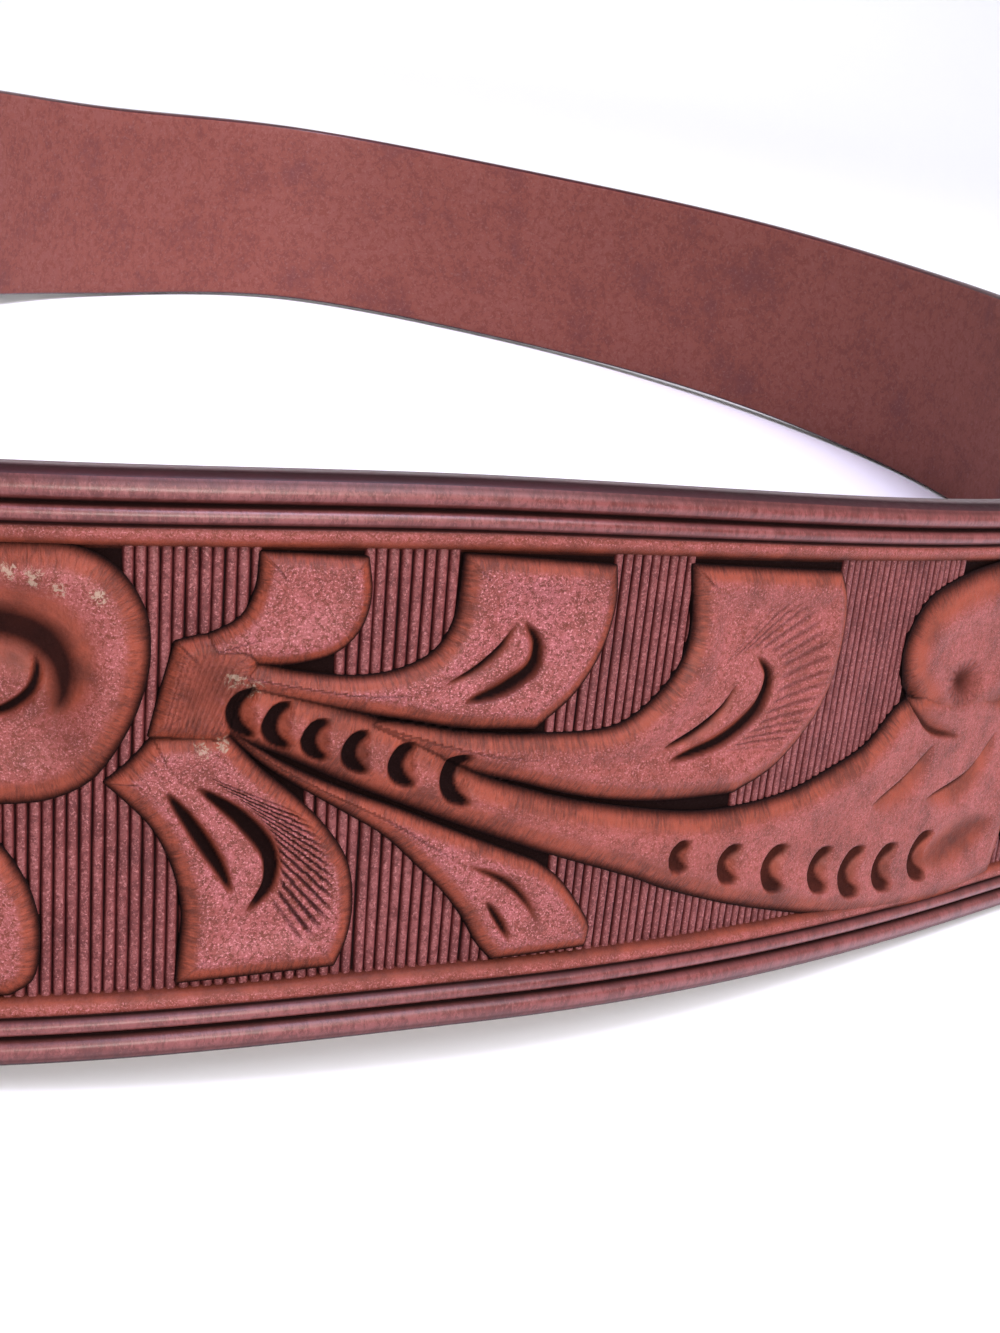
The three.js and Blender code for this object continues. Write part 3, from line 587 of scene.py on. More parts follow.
flower_outlines = {
    "right_petal": [[(8.9, 33.4), (13.4, 33.2), (16.0, 31.8), (17.6, 29.3), (17.9, 27.0), (17.7, 24.9),
                     (16.7, 22.0), (14.6, 18.9),
                     (12.2, 17.7), (9.1, 17.4), (5.0, 17.6), (1.6, 19.5)],
                    [(1.6, 19.5), (0.4, 25.0), (1.8, 30.0), (4.6, 32.6), (8.9, 33.4)]],
    "lower_petal": [[(2.4, 16.6), (6.0, 16.4), (8.6, 15.2), (10.3, 13.0), (11.3, 10.5), (11.5, 8.0),
                     (11.1, 5.9), (9.8, 5.0)],
                    [(9.8, 5.0), (4.6, 5.2)],
                    [(4.6, 5.2), (1.4, 7.4), (0.2, 11.0), (0.6, 14.4), (2.4, 16.6)]],
    "left_petal": [[(-19.4, 23.2), (-20.0, 26.2), (-18.0, 29.8), (-13.6, 31.8), (-8.4, 32.9), (-3.6, 33.3),
                    (-0.6, 31.6), (0.6, 27.4),
                    (-0.6, 22.6)], [(-0.6, 22.6), (-4.4, 19.4), (-9.9, 18.4), (-13.8, 18.8), (-19.4, 23.2)]],
    "centre": [[(3.4, 19.0), (2.4, 21.4), (0.0, 22.4), (-2.4, 21.4), (-3.4, 19.0), (-2.4, 16.6), (0.0, 15.6),
                (2.4, 16.6), (3.4, 19.0)]],
}

# How far in from the outline each form rounds over to its full height, how much of that height the dish
# inside loses, and how far its top is rubbed back to the pinkish tone, which is also a painted sheen
form_rows = {
    "calyx": {"shoulder": 1.1, "dish": 0.1, "rubbed_and_sheen": 0.15},
    "small_leaf": {"shoulder": 1.2, "dish": 0.15, "rubbed_and_sheen": 0.9},
    "middle_leaf": {"shoulder": 1.6, "dish": 0.32, "rubbed_and_sheen": 1.0},
    "large_leaf": {"shoulder": 1.8, "dish": 0.38, "rubbed_and_sheen": 0.65},
    "main_stem": {"shoulder": 2.4, "dish": 0.1, "rubbed_and_sheen": 0.55},
    "veined_leaf": {"shoulder": 1.7, "dish": 0.3, "rubbed_and_sheen": 0.95},
    "slim_leaf": {"shoulder": 1.5, "dish": 0.15, "rubbed_and_sheen": 0.9},
    "right_petal": {"shoulder": 2.4, "dish": 0.2, "rubbed_and_sheen": 0.75},
    "lower_petal": {"shoulder": 1.8, "dish": 0.2, "rubbed_and_sheen": 0.8},
    "left_petal": {"shoulder": 4.2, "dish": 0.2, "rubbed_and_sheen": 0.6},
    "centre": {"shoulder": 1.6, "dish": 0.0, "rubbed_and_sheen": 0.5},
}


def smooth_run(points, spacing=0.5):
    """A smooth open curve through points, with its own points about spacing apart."""
    p = np.array(points, float)
    if len(p) == 2:
        count = max(2, int(np.linalg.norm(p[1] - p[0]) / spacing))
        return p[0] + (p[1] - p[0]) * np.linspace(0, 1, count + 1)[:, None]
    p = np.vstack([2 * p[0] - p[1], p, 2 * p[-1] - p[-2]])
    parts = []
    for a, b, c, d in zip(p[:-3], p[1:-2], p[2:-1], p[3:]):
        ta, tb, tc = (max(np.linalg.norm(way), 1e-6) ** 0.5 for way in (b - a, c - b, d - c))
        mb = tb * ((b - a) / ta - (c - a) / (ta + tb) + (c - b) / tb)
        mc = tb * ((c - b) / tb - (d - b) / (tb + tc) + (d - c) / tc)
        count = max(2, int(np.linalg.norm(c - b) / spacing))
        u = (np.arange(count) / count)[:, None]
        from_b = (2 * u**3 - 3 * u**2 + 1) * b + (u**3 - 2 * u**2 + u) * mb
        parts.append(from_b + (3 * u**2 - 2 * u**3) * c + (u**3 - u**2) * mc)
    return np.vstack([*parts, p[-2:-1]])


def inside_gap(points, outline, reach=gap_reach):
    """Distance of each point to a closed outline, positive inside, and -reach where it is further out, with
    how far round the outline its nearest place lies."""
    gap = np.full(len(points), -reach)
    round_rim = np.zeros(len(points))
    near = np.all((points > outline.min(0) - reach) & (points < outline.max(0) + reach), axis=1)
    p = points[near]
    least = np.full(len(p), 1e9)
    nearest = np.zeros(len(p))
    passed = 0.0
    inside = np.zeros(len(p), bool)
    for a, b in zip(outline, np.roll(outline, -1, axis=0)):
        way = b - a
        away = p - a
        u = np.clip(away @ way / (way @ way), 0, 1)
        squared = ((away - u[:, None] * way) ** 2).sum(1)
        closer = squared < least
        least[closer] = squared[closer]
        length = math.hypot(*way)
        nearest[closer] = passed + u[closer] * length
        passed += length
        if a[1] != b[1]:
            between = (a[1] > p[:, 1]) != (b[1] > p[:, 1])
            inside ^= between & (p[:, 0] < a[0] + (p[:, 1] - a[1]) * way[0] / way[1])
    least = np.sqrt(least)
    gap[near] = np.where(inside, least, -least)
    round_rim[near] = nearest
    return np.maximum(gap, -reach), round_rim


def nearest_on(points, run, reach):
    """Which points are near an open curve, their distance, side and share of the way along it."""
    near = np.flatnonzero(np.all((points > run.min(0) - reach) & (points < run.max(0) + reach), axis=1))
    p = points[near]
    lengths = np.linalg.norm(np.diff(run, axis=0), axis=1)
    before = np.concatenate([[0], np.cumsum(lengths)])
    gap = np.full(len(p), 1e9)
    side = np.ones(len(p))
    share = np.zeros(len(p))
    for k, (a, b) in enumerate(zip(run[:-1], run[1:])):
        way = b - a
        u = np.clip(((p - a) @ way) / (way @ way), 0, 1)
        away = p - a - u[:, None] * way
        distance = np.hypot(*away.T)
        closer = distance < gap
        gap[closer] = distance[closer]
        side[closer] = np.sign(way[0] * away[closer, 1] - way[1] * away[closer, 0])
        share[closer] = (before[k] + u[closer] * lengths[k]) / before[-1]
    return near, gap, side, share


# Knife cuts and shader marks, each along a smooth run: width and depth in mm at the middle, bevel is the
# width of the sloped side, which lies to the left of the run where it is positive.
cut_marks = [
    {"run": [(41.4, 28.7), (42.5, 27.2), (42.4, 25.6), (40.5, 24.1), (37.6, 23.2)], "width": 0.75,
     "depth": 0.75, "bevel": -0.9},
    {"run": [(40.9, 28.6), (39.9, 26.9), (38.4, 25.5), (36.2, 24.4)], "width": 0.4, "depth": 0.5,
     "bevel": 0.6},
    {"run": [(61.6, 26.2), (63.3, 24.6), (62.9, 22.3), (59.8, 19.9), (54.2, 18.4)], "width": 0.8,
     "depth": 0.8, "bevel": -1.1},
    {"run": [(59.9, 24.0), (58.8, 22.2), (56.6, 20.6), (53.6, 19.4)], "width": 0.6, "depth": 0.6,
     "bevel": 0.8},
    {"run": [(19.0, 18.0), (20.7, 15.6), (22.5, 12.7), (23.3, 11.0)], "width": 0.9, "depth": 0.8,
     "bevel": 0.5},
    {"run": [(20.9, 18.2), (23.8, 15.9), (25.6, 13.5), (25.6, 11.6), (24.2, 9.6)], "width": 1.1,
     "depth": 0.85, "bevel": 0.5},
    {"run": [(38.8, 12.0), (41.9, 10.5), (43.8, 8.7), (44.7, 7.2)], "width": 0.4, "depth": 0.45,
     "bevel": 0.5},
    {"run": [(40.4, 9.4), (41.6, 7.8), (42.6, 6.2)], "width": 0.5, "depth": 0.5, "bevel": 0.3},
    # The ring petal's broad soft hollow: its wide dark fade is painted shade, partly paste
    {"run": [(4.0, 27.6), (8.0, 28.6), (11.0, 28.0), (12.6, 26.4), (12.9, 24.4), (12.2, 22.6)], "width": 2.3,
     "depth": 0.85, "bevel": 2.6, "soft": 0.6, "dark": 0.95},
    {"run": [(11.0, 27.0), (11.3, 26.0), (11.0, 24.6), (9.6, 23.4), (7.0, 22.8)], "width": 0.6, "depth": 0.6,
     "bevel": 0.5},
    {"run": [(78.4, 13.2), (82.6, 15.1), (86.0, 17.8)], "width": 0.6, "depth": 0.6, "bevel": -2.6,
     "dark": 0.8},
    {"run": [(86.2, 12.9), (92.6, 14.7), (95.8, 18.0)], "width": 0.6, "depth": 0.6, "bevel": -2.6,
     "dark": 0.8},
    {"run": [(81.2, 24.0), (82.4, 21.2), (85.2, 19.2), (89.5, 18.2)], "width": 0.6, "depth": 0.6,
     "bevel": 1.4, "dark": 0.8},
    {"run": [(86.5, 7.2), (92.0, 8.3), (98.0, 9.6)], "width": 2.6, "depth": 0.5, "bevel": 1.8, "soft": 1,
     "dark": 0.3},
]
for mark in cut_marks:
    mark.setdefault("soft", 0)
    mark.setdefault("dark", 1)
# Crescent stamps along the main stem: left is the stamp's leftmost point, tall its height.
crescent_rows = [
    {"left": (23.0, 22.9), "tall": 3.3, "width": 1.25}, {"left": (25.3, 22.0), "tall": 3.1, "width": 1.3},
    {"left": (27.8, 21.0), "tall": 2.7, "width": 1.35}, {"left": (30.4, 20.1), "tall": 2.8, "width": 1.35},
    {"left": (33.5, 19.1), "tall": 2.9, "width": 1.45}, {"left": (37.1, 17.9), "tall": 3.5, "width": 1.55},
    {"left": (56.1, 11.2), "tall": 2.1, "width": 1.6}, {"left": (61.2, 10.1), "tall": 2.8, "width": 1.7},
    {"left": (66.3, 9.2), "tall": 3.5, "width": 1.9}, {"left": (72.1, 8.4), "tall": 3.5, "width": 1.9},
    {"left": (76.3, 7.7), "tall": 4.0, "width": 2.1}, {"left": (81.0, 7.5), "tall": 3.8, "width": 2.0},
    {"left": (86.2, 7.8), "tall": 4.1, "width": 2.1},
]
for row in crescent_rows:
    x, y = row["left"]
    half = row["tall"] / 2
    curl, turn, dark = (1.25, 74, 1) if x < 50 else (1.45, 80, 0.85)
    steps = np.radians([turn, turn / 2, 0, -turn / 2, -turn])
    arc = [(x + half * curl * (1 - math.cos(a)), y + half * math.sin(a)) for a in steps]
    cut_marks.append(
        {"run": arc, "width": 0.85 * row["width"], "depth": 0.9, "bevel": 1.5, "soft": 0, "dark": dark})
# Fine veins fanned from one line to another: their count and how dark they stay
ring = [(math.cos(a), math.sin(a)) for a in np.linspace(0, 2 * math.pi, 13)]
vein_fans = [
    {"from": [(20.8, 19.4), (22.5, 18.1), (24.4, 16.5), (25.6, 14.9), (26.1, 13.3), (26.2, 11.9),
              (26.0, 10.7), (25.2, 9.9)],
     "to": [(27.6, 16.4), (29.0, 14.8), (29.9, 12.8), (30.2, 11.0), (30.0, 9.4), (29.5, 8.3), (28.7, 7.5),
            (27.4, 6.9)],
     "count": 17, "dark": 0.85},
    {"from": [(57.5, 25.0), (61.0, 26.6), (64.2, 25.4), (64.0, 22.8), (61.8, 20.2), (58.6, 18.6)],
     "to": [(62.5, 30.6), (66.6, 30.2), (69.4, 28.0), (70.2, 25.0), (68.8, 21.6), (65.0, 18.6)], "count": 19,
     "dark": 0.4},
    {"from": [(18.4, 21.5), (19.4, 21.4), (22.4, 21.2)], "to": [(19.7, 27.4), (22.0, 27.6), (24.6, 25.6)],
     "count": 14, "dark": 0.35},
    {"from": [(89.3 + 0.7 * x, 22.9 + 0.5 * y) for x, y in ring],
     "to": [(89.3 + 3.2 * x, 22.9 + 2.2 * y) for x, y in ring],
     "count": 18, "dark": 0.4},
]
vein_depth = 0.12
fan_reach = 0.4
# Where the finish has flaked to bare tan leather round the root of the scroll and on the petal's rim
worn_places = [(9.5, 31.7), (11.0, 31.4), (12.4, 30.7), (14.8, 30.2), (22.9, 25.1), (24.1, 24.5),
               (22.4, 21.0), (21.2, 20.7)]
worn_spread = 2.0
# Soft hollows pressed by a round tool; their dark share is painted shade in the hollow, partly paste
hollow_rows = [
    {"at": (27.5, 30.0), "wide": 3.0, "tall": 2.6, "depth": 0.12, "dark": 0},
    {"at": (42.5, 30.0), "wide": 4.0, "tall": 3.0, "depth": 0.16, "dark": 0},
    {"at": (62.0, 29.5), "wide": 5.5, "tall": 3.5, "depth": 0.2, "dark": 0},
    {"at": (25.5, 8.0), "wide": 4.0, "tall": 2.5, "depth": 0.18, "dark": 0},
    {"at": (12.8, 22.5), "wide": 2.6, "tall": 3.4, "depth": 0.35, "dark": 0.3},
    {"at": (8.0, 25.0), "wide": 4.0, "tall": 4.5, "depth": 0.25, "dark": 0.1},
    {"at": (89.3, 22.9), "wide": 2.2, "tall": 1.6, "depth": 0.7, "dark": 0.85},
    {"at": (21.2, 24.2), "wide": 2.6, "tall": 3.0, "depth": 0.1, "dark": 0.35},
    {"at": (72.0, 11.5), "wide": 12.0, "tall": 3.0, "depth": 0.1, "dark": 0},
]

forms = {}
for outlines in (flower_outlines, scroll_outlines):
    for name, runs in outlines.items():
        forms[name] = np.vstack([smooth_run(run)[:-1] for run in runs])


def carved(points, before, after):
    """At points placed from one flower: the gap inside the carving, its share of the full relief, how far it
    has rounded over, how far its top takes the pinkish tone, rubbed back and painted as sheen, and the place
    along and in from its rim."""
    gap = np.full(len(points), -gap_reach)
    share = np.zeros(len(points))
    round_over = np.zeros(len(points))
    rubbed_and_sheen = np.zeros(len(points))
    rim = np.zeros((len(points), 3))
    for there, offset in ((before, -flower_pitch), (after, 0)):
        for number, (name, outline) in enumerate(forms.items()):
            if there:
                inside, round_rim = inside_gap(points, outline + (offset, 0))
                inside += outline_growth
                row = form_rows[name]
                rounding = np.sin(np.clip(inside / row["shoulder"], 0, 1) * math.pi / 2)
                rise = np.where(inside > -foot_reach, foot_share + (1 - foot_share) * rounding, 0)
                dished = rise - row["dish"] * smoothstep((inside - 0.7 * row["shoulder"]) / dish_run)
                higher = dished > share
                gap = np.maximum(gap, inside)
                share[higher] = dished[higher]
                round_over[higher] = rise[higher]
                rubbed_and_sheen[higher] = row["rubbed_and_sheen"]
                drawn = 1 - smoothstep((inside - fibre_start) / fibre_run)
                round_rim += fibre_places_between_forms * number
                rim[higher] = np.column_stack([round_rim, inside, drawn])[higher]
    return gap, share, round_over, rubbed_and_sheen, rim


def fanned(points, offset):
    """Where each point lies in the vein fans of one scroll: how many veins on, how far out, how strong."""
    veins = np.zeros((len(points), 3))
    for fan in vein_fans:
        from_line, to_line = smooth_run(fan["from"], 0.05), smooth_run(fan["to"], 0.05)
        across = np.linspace(0, 1, 24 * fan["count"])
        out = np.linspace(-0.15, 1.15, 40)
        starts = from_line[(across * (len(from_line) - 1)).astype(int)] + (offset, 0)
        ends = to_line[(across * (len(to_line) - 1)).astype(int)] + (offset, 0)
        places = starts[:, None] + (ends - starts)[:, None] * out[None, :, None]
        tree = KDTree(places.shape[0] * places.shape[1])
        for number, (x, y) in enumerate(places.reshape(-1, 2).tolist()):
            tree.insert((x, y, 0), number)
        tree.balance()
        low, high = places.min((0, 1)) - fan_reach, places.max((0, 1)) + fan_reach
        for at in np.flatnonzero(np.all((points > low) & (points < high), axis=1)):
            _, number, away = tree.find((*points[at], 0))
            step, share = divmod(number, len(out))
            u, v = across[step], out[share]
            strength = smoothstep(v / 0.1) * smoothstep((1 - v) / 0.3) * smoothstep((0.35 - away) / 0.3)
            strength *= smoothstep(8 * u) * smoothstep(8 * (1 - u))
            if away < fan_reach and strength * fan["dark"] >= veins[at, 2]:
                veins[at] = (u * (fan["count"] - 1), v, strength * fan["dark"])
    return veins


def marked(points, height, paste_and_shade, rubbed_and_sheen, offset):
    """Takes the cuts, crescents, veins and hollows of one scroll out of the height."""
    local = points - (offset, 0)
    for mark in cut_marks:
        run = smooth_run(mark["run"], 0.3)
        bevel = mark["bevel"]
        near, gap, side, share = nearest_on(local, run, abs(bevel) + mark["width"] + 0.5)
        if len(near) == 0:
            continue
        taper = np.maximum(np.sin(math.pi * share) ** 0.55, 0.04)
        half = mark["width"] / 2 * taper
        sloped = (side * np.sign(bevel) > 0) | (mark["soft"] > 0)
        fade = np.where(sloped, abs(bevel), 0.2) * np.maximum(taper, 0.2)
        past = np.clip((gap - 0.4 * half) / (0.6 * half + fade), 0, 1)
        removed = mark["depth"] * taper * (1 - smoothstep(past ** np.where(sloped, 0.7, 1)))
        height[near] -= removed
        # Dark paste along each cut; where a mark is soft it spreads wide as painted shade in its hollow
        blur = 0.26 + 1.3 * mark["soft"]
        core = np.clip((half + 0.14 + 0.5 * mark["soft"] - gap) / blur, 0, 1)
        core *= np.clip(mark["depth"] * taper * 2.4, 0, 1)
        paste_and_shade[near] = np.maximum(paste_and_shade[near], core * mark["dark"])
        rubbed_and_sheen[near] *= 1 - np.clip(removed / 0.3, 0, 1)
    for row in hollow_rows:
        away = (local - row["at"]) / (row["wide"], row["tall"])
        pressed = np.exp(-1.5 * (away**2).sum(1))
        height -= row["depth"] * pressed
        # Painted shade in each pressed hollow, partly paste
        paste_and_shade[:] = np.maximum(paste_and_shade, row["dark"] * pressed)


def filled_outline(s, t, gap):
    """Faces that fill the part of a grid where the gap is above zero, cut off at the zero line."""
    places = list(zip(s.ravel().tolist(), t.ravel().tolist()))
    inside = gap > 0
    index = np.arange(s.size).reshape(s.shape)
    quads = np.stack([index[:-1, :-1], index[1:, :-1], index[1:, 1:], index[:-1, 1:]], axis=-1).reshape(-1, 4)
    levels = gap.ravel()
    within = inside.ravel()[quads].sum(1)
    faces = quads[within == 4].tolist()
    crossings = {}

    def crossing(a, b):
        key = (min(a, b), max(a, b))
        if key not in crossings:
            low, high = key
            u = min(max(levels[low] / (levels[low] - levels[high]), 0.06), 0.94)
            crossings[key] = len(places)
            places.append(tuple(p + (q - p) * u for p, q in zip(places[low], places[high])))
        return crossings[key]

    for quad in quads[(within > 0) & (within < 4)].tolist():
        face = []
        for a, b in zip(quad, quad[1:] + quad[:1]):
            if levels[a] > 0:
                face.append(a)
            if (levels[a] > 0) != (levels[b] > 0):
                face.append(crossing(a, b))
        faces.append(face)
    used = sorted({v for face in faces for v in face})
    renumber = {v: i for i, v in enumerate(used)}
    return np.array([places[v] for v in used]), [[renumber[v] for v in face] for face in faces]


least_relief = 0.1
sunk = 0.25


def carving_sheet(start, end, spacing, before, after):
    """The raised carving from start to end past a flower: flat points, faces and what the leather reads."""
    s_count = int(round((end - start) / spacing)) + 1
    t_low, t_high = 2.6, strap_width - ledge_end
    t_count = int(round((t_high - t_low) / spacing)) + 1
    s, t = np.meshgrid(np.linspace(start, end, s_count), np.linspace(t_low, t_high, t_count), indexing="ij")
    gap = carved(np.column_stack([s.ravel(), t.ravel()]), before, after)[0].reshape(s.shape)
    skin, faces = filled_outline(s, t, gap)
    _, share, round_over, rubbed_and_sheen, rim = carved(skin, before, after)
    height = share * ground_depth
    paste_and_shade = smoothstep((0.7 - round_over) / 0.4)
    top = smoothstep((round_over - 0.78) / 0.2) * rubbed_and_sheen
    worn = np.zeros(len(skin))
    veins = np.zeros((len(skin), 3))
    for there, offset in ((after, 0), (before, -flower_pitch)):
        if there:
            marked(skin, height, paste_and_shade, top, offset)
            for place in worn_places:
                away = skin - place - (offset, 0)
                worn = np.maximum(worn, np.exp(-(away**2).sum(1) / worn_spread))
            veins = np.where(veins[:, 2:] > 0, veins, fanned(skin, offset))
    vein_gap = np.abs(veins[:, 0] - np.round(veins[:, 0]))
    height -= vein_depth * veins[:, 2] * smoothstep((0.35 - vein_gap) / 0.3)
    height = np.maximum(height, least_relief)
    top *= 1 - paste_and_shade
    count = len(skin)
    edges = set()
    for face in faces:
        edges.update(zip(face, face[1:] + face[:1]))
    open_edges = [(a, b) for a, b in edges if (b, a) not in edges]
    base = ground_height - sunk
    points = np.vstack([np.column_stack([skin, ground_height + height]),
                        np.column_stack([skin, np.full(count, base)])])
    shell = faces + [[v + count for v in reversed(face)] for face in faces]
    shell += [[b, a, a + count, b + count] for a, b in open_edges]
    marks = {"paste_and_shade": (paste_and_shade, 1), "top": (top, 0), "worn": (worn, 0), "rim": (rim, 0), "vein": (veins, 0)}
    return points, shell, {
        name: np.concatenate([above, np.full_like(above, below)]) for name, (above, below) in marks.items()}


# The scroll is made in lengths that meet in the middle of a flower. The one in front is the finest, in three
# parts, the first of them fine enough for the veined leaf.
seam = 5.5
leaf_end = -68.0
half_way = -32.0
finest, fine, coarse = 0.125, 0.16, 0.45
front_left = carving_sheet(seam - flower_pitch, leaf_end, finest, True, True)
front_middle = carving_sheet(leaf_end, half_way, fine, True, True)
front_right = carving_sheet(half_way, seam, fine, True, True)
coarser = carving_sheet(seam - flower_pitch, seam, coarse, True, True)
first_part = carving_sheet(tooled_start + 4 - first_flower, seam, coarse, False, True)
past_last = tooled_end - 3 - first_flower - flower_count * flower_pitch
last_part = carving_sheet(seam - flower_pitch, past_last, coarse, True, False)
front = 2
lengths = [(0, first_part), (front, front_left), (front, front_middle), (front, front_right),
           (flower_count, last_part)]
lengths += [(k, coarser) for k in range(1, flower_count) if k != front]
for number, (k, (points, shell, marks)) in enumerate(lengths):
    sheet = new_mesh("carving", points + (first_flower + k * flower_pitch, 0, 0), shell)
    for name, values in marks.items():
        keep_numbers(sheet, name, values)
    carving = add_piece(f"carving_{number + 1}", sheet)
    sheet.materials.append(antiqued_leather)
    set_round_loop(sheet, shift)
    sheet.shade_smooth()
    sheet.set_sharp_from_angle(angle=math.radians(60))
    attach(carving, "root")

# The ground: parallel ribs, pressed side by side with a lined stamp across the beaten field, which run up to
# the leaves and the ledges. They are pinkish on their crests, a painted sheen, with dark red paste and
# painted shade left between them.
rib_pitch = 0.77
rib_width = 0.78
rib_height = 0.27
rib_low = ledge_end
rib_high = strap_width - ledge_end
rib_step = 0.08
rib_under = 0.3
shortest_rib = 1.7
dice = np.random.default_rng(4)
rib_places = np.arange(tooled_start + 3, tooled_end - 2, rib_pitch)
steps_up = np.arange(rib_low, rib_high, rib_step)
s, t = np.meshgrid(rib_places, steps_up, indexing="ij")
open_ground = np.ones(s.shape, bool)
for k in range(flower_count + 1):
    flower_at = first_flower + k * flower_pitch
    here = (rib_places > flower_at - flower_pitch + seam) & (rib_places <= flower_at + seam)
    local = np.column_stack([s[here].ravel() - flower_at, t[here].ravel()])
    open_ground[here] = (carved(local, k > 0, k < flower_count)[0] < rib_under).reshape(-1, len(steps_up))
rib_points = []
rib_edges = []
rib_press = []
for place, clear in zip(rib_places, open_ground):
    changes = np.flatnonzero(np.diff(np.concatenate([[0], clear.astype(int), [0]])))
    for low_step, high_step in zip(changes[::2], changes[1::2]):
        low, high = steps_up[low_step], steps_up[high_step - 1]
        if high - low < shortest_rib and low > rib_low + 0.3:
            continue
        inner = np.linspace(low + 0.15, high - 0.15, max(2, int((high - low) / 2.5)))
        stops_up = [low, *inner, high]
        press = [0.9, *(0.88 + 0.12 * dice.random(len(inner))), 0.9]
        first = len(rib_points)
        sway = dice.normal(0, 0.02)
        rib_points += [(place + sway + dice.normal(0, 0.012), t_here, ground_height) for t_here in stops_up]
        rib_press += press
        rib_edges += [(first + i, first + i + 1) for i in range(len(stops_up) - 1)]
rib_lines = bpy.data.meshes.new("rib_lines")
rib_lines.from_pydata(rib_points, rib_edges, [])
keep_numbers(rib_lines, "press", np.array(rib_press))
ribs = add_piece("ground_ribs", rib_lines)

# The stamped ground keeps more paste than the leaves and is rubbed only on its crests, so it looks darker and
# redder, with pinkish lines; the pink is partly a painted sheen and the dark between the ribs partly painted
# shade.
ground_leather = leather(
    "stamped_ground_leather",
    {"low": "#642824", "deep": "#481A18", "top": "#6E3C3A", "glint_speck": "#A86E6C", "paste": "#3A1414"},
    roughness=0.5, shine=0.22, coat=0.05, grain_mm=0.16, grain_height=0.05, pool_mm=3)

rib_tree = bpy.data.node_groups.new("pressed_ribs", "GeometryNodeTree")
for name, kind in (("Geometry", "Geometry"), ("Rib Width", "Float"), ("Rib Height", "Float"),
                   ("Finish", "Material")):
    rib_tree.interface.new_socket(name, in_out="INPUT", socket_type=f"NodeSocket{kind}")
rib_tree.interface.new_socket("Geometry", in_out="OUTPUT", socket_type="NodeSocketGeometry")
asked = node(rib_tree, "NodeGroupInput").outputs
rib_curves = node(rib_tree, "GeometryNodeMeshToCurve", {"Mesh": asked["Geometry"]})
rib_upright = node(rib_tree, "GeometryNodeSetCurveNormal", {"Curve": rib_curves.outputs["Curve"]},
                   mode="Z_UP")
press_there = node(rib_tree, "GeometryNodeInputNamedAttribute", {"Name": "press"}, data_type="FLOAT")
round_section = node(rib_tree, "GeometryNodeCurvePrimitiveCircle", {"Resolution": 6, "Radius": 1.0})
half_rib = node(rib_tree, "ShaderNodeMath", {0: asked["Rib Width"], 1: 2.0}, operation="DIVIDE")
section_size = node(rib_tree, "ShaderNodeCombineXYZ", {
    "X": half_rib.outputs["Value"], "Y": asked["Rib Height"], "Z": 1.0})
rib_section = node(rib_tree, "GeometryNodeTransform", {
    "Geometry": round_section.outputs["Curve"], "Scale": section_size.outputs["Vector"]})
rib_walls = node(rib_tree, "GeometryNodeCurveToMesh", {
    "Curve": rib_upright.outputs["Curve"], "Profile Curve": rib_section.outputs["Geometry"],
    "Scale": press_there.outputs["Attribute"], "Fill Caps": True})
rib_finished = node(rib_tree, "GeometryNodeSetMaterial", {
    "Geometry": rib_walls.outputs["Mesh"], "Material": asked["Finish"]})
node(rib_tree, "NodeGroupOutput", {"Geometry": rib_finished.outputs["Geometry"]})

rib_maker = ribs.modifiers.new("pressed_ribs", "NODES")
rib_maker.node_group = rib_tree
rib_inputs = {item.name: item.identifier for item in rib_tree.interface.items_tree if item.in_out == "INPUT"}
rib_maker[rib_inputs["Rib Width"]] = rib_width
rib_maker[rib_inputs["Rib Height"]] = rib_height
rib_maker[rib_inputs["Finish"]] = ground_leather
rib_mesh = bpy.data.meshes.new_from_object(ribs.evaluated_get(bpy.context.evaluated_depsgraph_get()))
ribs.modifiers.remove(rib_maker)
ribs.data = rib_mesh
turn_outward(rib_mesh)
# Paste and painted shade darken each rib towards its foot, and its crest takes the top tone as a painted
# sheen
crest = np.clip((coordinates(rib_mesh)[:, 2] - ground_height) / rib_height, 0, 1)
keep_numbers(rib_mesh, "paste_and_shade", 0.6 * np.clip(1 - 1.2 * crest, 0, 1))
keep_numbers(rib_mesh, "top", crest)
set_round_loop(rib_mesh, shift)
rib_mesh.shade_smooth()
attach(ribs, "root")

# The keeper: a plain leather band round both layers of the strap, 12 mm wide, creased near its edges and
# burnished. It holds the tail against the buckle end.
keeper_width = 12
keeper_thickness = 2
keeper_gap = 0.4
keeper_corner = 1.5
fold_back = -half_thickness - clearance - fold_thickness
keeper_centre = (rivet_places[0] + rivet_places[1]) / 2
# The band's section: a is along the strap and b outward from the band's middle, as shares of half its width
# and half its thickness, with the stain kept there.
keeper_rows = np.array([
    (-0.99, -0.5, 0.3), (-0.96, -0.9, 0.2), (-0.9, -1, 0), (0.9, -1, 0), (0.96, -0.9, 0.2), (0.99, -0.5, 0.3),
    (1, 0.4, 0.3), (0.98, 0.75, 0.2), (0.94, 0.95, 0), (0.88, 1, 0), (0.8, 0.98, 0.3), (0.77, 0.78, 1),
    (0.74, 0.98, 0.3), (0.66, 1, 0), (-0.66, 1, 0), (-0.74, 0.98, 0.3), (-0.77, 0.78, 1), (-0.8, 0.98, 0.3),
    (-0.88, 1, 0), (-0.94, 0.95, 0), (-0.98, 0.75, 0.2), (-1, 0.4, 0.3),
], dtype=[("a", float), ("b", float), ("paste_and_shade", float)])


